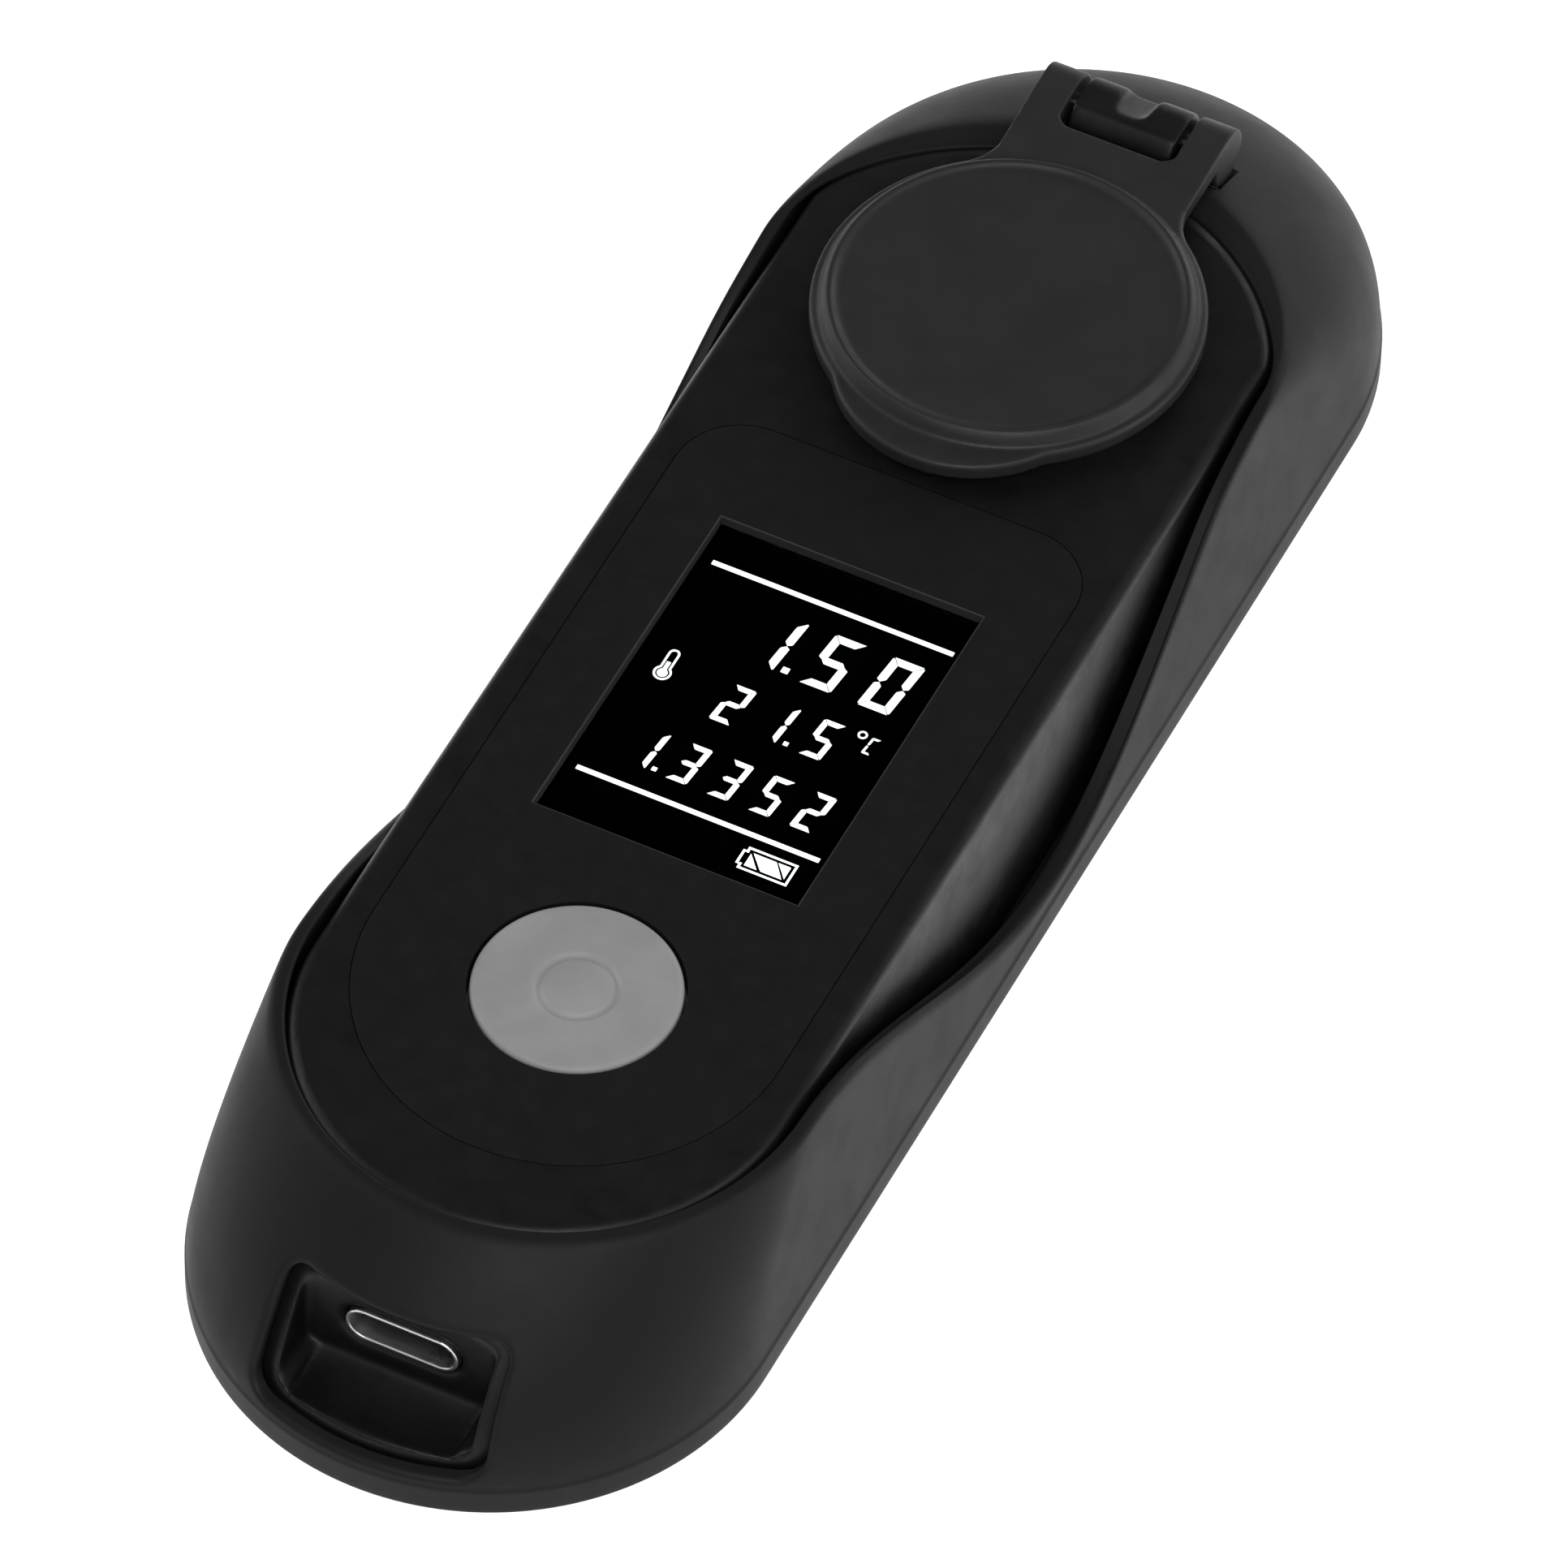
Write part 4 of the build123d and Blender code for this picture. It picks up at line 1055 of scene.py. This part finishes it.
def battery(marks):
    """A battery: an outline with a pole on its left, and three slanted bars in it."""
    x0, x1, y0, y1 = 4.5, 8.27, -12.58, -10.54
    line = 0.18
    pole = x0 - 0.26
    pole_line = 0.14
    pole_low, pole_high = y0 + 0.5, y1 - 0.5
    for sides in (
        (x0, x1, y1 - line, y1),
        (x0, x1, y0, y0 + line),
        (x1 - line, x1, y0 + line, y1 - line),
        (x0, x0 + line, y0 + line, pole_low),
        (x0, x0 + line, pole_high, y1 - line),
        (pole, pole + line, pole_low, pole_high),
        (pole, x0 + line, pole_low - pole_line, pole_low),
        (pole, x0 + line, pole_high, pole_high + pole_line),
    ):
        marks.box(*sides)
    low, high = y0 + 0.4, y1 - 0.4
    left, right = x0 + 0.38, x1 - 0.4
    slant = 1.1
    gap = 0.14
    tip = 0.1
    marks.polygon([(left, low), (left + slant - gap, low), (left, high - tip)])
    marks.polygon(
        [
            (left + slant + gap, low),
            (right - gap, low),
            (right - slant, high),
            (left + gap, high),
        ]
    )
    marks.polygon([(right, low + tip), (right, high), (right - slant + gap, high)])


def build_marks():
    marks = Marks()
    for x0, x1, y in rules:
        marks.box(x0, x1, y - rule_width / 2, y + rule_width / 2)
    for row in number_rows:
        number_row(marks, *row)
    degrees_sign(marks)
    thermometer(marks)
    battery(marks)
    obj = make_object("display_marks", marks.verts, marks.faces, "housing", "light_guide", False)
    set_finish(obj, marks_white)


build_marks()


# The clear pane, and a lining round the display's opening whose lighter grey is painted light on the
# opening's lit side walls

pane_top = glass_z + 0.22
pane_bevel = 0.08
opening_half_x = 10.7
opening_half_y = 15.25
opening_y = (window_low.y + window_high.y) / 2
# The lining is paler than the housing's black: its grey paints the light that falls on the opening's
# side walls
lining_width = 0.14
lining_low = pane_top + 0.01
lining_top = face_z - 0.04
lining_bevel = 0.05


def frame_loop(half_x, half_y, z):
    return [
        (-half_x, opening_y - half_y, z),
        (half_x, opening_y - half_y, z),
        (half_x, opening_y + half_y, z),
        (-half_x, opening_y + half_y, z),
    ]


def stacked(loops, closed):
    """Points and faces of a stack of four-cornered loops, with ends, or closed into a ring."""
    verts = [point for loop in loops for point in loop]
    faces = []
    pairs = list(zip(range(len(loops)), range(1, len(loops))))
    if closed:
        pairs.append((len(loops) - 1, 0))
    else:
        faces += [(0, 1, 2, 3), tuple(4 * (len(loops) - 1) + k for k in range(4))]
    for a, b in pairs:
        for k in range(4):
            n = (k + 1) % 4
            faces.append((4 * a + k, 4 * a + n, 4 * b + n, 4 * b + k))
    return verts, faces


def build_pane():
    half_x = (window_high.x - window_low.x) / 2
    half_y = (window_high.y - window_low.y) / 2
    loops = [
        frame_loop(half_x - pane_bevel, half_y - pane_bevel, window_low.z),
        frame_loop(half_x, half_y, window_low.z + pane_bevel),
        frame_loop(half_x, half_y, pane_top - pane_bevel),
        frame_loop(half_x - pane_bevel, half_y - pane_bevel, pane_top),
    ]
    pane = make_object("display_pane", *stacked(loops, False), "housing", "window_clear", False)
    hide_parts("display_window")


def build_lining():
    inner_x = opening_half_x - lining_width
    inner_y = opening_half_y - lining_width
    loops = [
        frame_loop(inner_x, inner_y, lining_low),
        frame_loop(inner_x, inner_y, lining_top - lining_bevel),
        frame_loop(inner_x + lining_bevel, inner_y + lining_bevel, lining_top),
        frame_loop(opening_half_x, opening_half_y, lining_top),
        frame_loop(opening_half_x, opening_half_y, lining_low),
    ]
    # Painted light: the frame plastic's lighter grey stands for light on the opening's side walls
    make_object("display_lining", *stacked(loops, True), "housing", "frame_plastic", False)


build_pane()
build_lining()


# The floor, the light and the camera. From here on, places and sizes are in metres.

floor_reach = 30.0
floor_white = (0.86, 0.86, 0.86, 1)
floor_rough = 0.8
floor_specular = 0.1
floor_glow = 0.72
world_fill = 0.12
white = (1, 1, 1, 1)


def math_node(nodes, links, operation, *sources):
    node = nodes.new("ShaderNodeMath")
    node.operation = operation
    for k, source in enumerate(sources):
        links.new(source, node.inputs[k])
    return node


def build_floor():
    """A white floor, which glows where it is seen straight, reflected or through a clear piece."""
    mesh = bpy.data.meshes.new("floor")
    r = floor_reach
    mesh.from_pydata([(-r, -r, 0), (r, -r, 0), (r, r, 0), (-r, r, 0)], [], [(0, 1, 2, 3)])
    floor = add_object("floor", mesh)
    material, nodes, links, shader = new_material("floor_white")
    shader.inputs["Base Color"].default_value = floor_white
    shader.inputs["Roughness"].default_value = floor_rough
    shader.inputs["Specular IOR Level"].default_value = floor_specular
    rays = nodes.new("ShaderNodeLightPath").outputs
    seen_in = math_node(nodes, links, "ADD", rays["Is Glossy Ray"], rays["Is Transmission Ray"])
    seen = math_node(nodes, links, "ADD", rays["Is Camera Ray"], seen_in.outputs[0])
    seen.use_clamp = True
    glow = math_node(nodes, links, "MULTIPLY", seen.outputs[0])
    glow.inputs[1].default_value = floor_glow
    shader.inputs["Emission Color"].default_value = white
    links.new(glow.outputs[0], shader.inputs["Emission Strength"])
    mesh.materials.append(material)


def build_world():
    """A backdrop that is white to the camera, and a faint fill light to everything else."""
    world = bpy.data.worlds.new("studio")
    bpy.context.scene.world = world
    world.use_nodes = True
    nodes = world.node_tree.nodes
    links = world.node_tree.links
    back = nodes["Background"]
    path = nodes.new("ShaderNodeLightPath")
    level = nodes.new("ShaderNodeMapRange")
    level.inputs["To Min"].default_value = world_fill
    level.inputs["To Max"].default_value = 1.0
    links.new(path.outputs["Is Camera Ray"], level.inputs["Value"])
    back.inputs["Color"].default_value = white
    links.new(level.outputs["Result"], back.inputs["Strength"])


light_aim = Vector((0, 0, 0.01))


def soft_light(name, place, width, height, power):
    """A soft light that points at the object."""
    data = bpy.data.lights.new(name, "AREA")
    data.shape = "RECTANGLE"
    data.size = width
    data.size_y = height
    data.energy = power
    light = add_object(name, data)
    light.location = place
    light.rotation_mode = "QUATERNION"
    light.rotation_quaternion = (light_aim - Vector(place)).to_track_quat("-Z", "Y")


camera_sensor = 36.0
camera_lens = 371.15
camera_near = 0.1
camera_far = 100.0
# The camera's place and its own axes
camera_place = (0.32314, -0.68249, 0.90562)
camera_right = (0.89618, 0.44352, 0.01338)
camera_up = (-0.34815, 0.68413, 0.64094)
camera_back = (0.27510, -0.57904, 0.76750)


def build_camera():
    data = bpy.data.cameras.new("camera")
    data.sensor_width = camera_sensor
    data.lens = camera_lens
    data.clip_start = camera_near
    data.clip_end = camera_far
    camera = add_object("camera", data)
    turn = Matrix((camera_right, camera_up, camera_back)).transposed().to_4x4()
    camera.matrix_world = Matrix.Translation(camera_place) @ turn
    bpy.context.scene.camera = camera


build_floor()
build_world()
soft_light("front_soft", place=(0.35, -0.9, 1.1), width=0.9, height=0.9, power=11.5)
soft_light("right_soft", place=(1.2, 0.1, 0.7), width=0.8, height=1.2, power=6)
soft_light("left_soft", place=(-1.2, 0.0, 0.7), width=0.8, height=1.2, power=6)
soft_light("rear_soft", place=(0.3, 1.4, 0.5), width=1.4, height=0.5, power=5)
build_camera()

scene = bpy.context.scene
scene.view_settings.view_transform = "Standard"
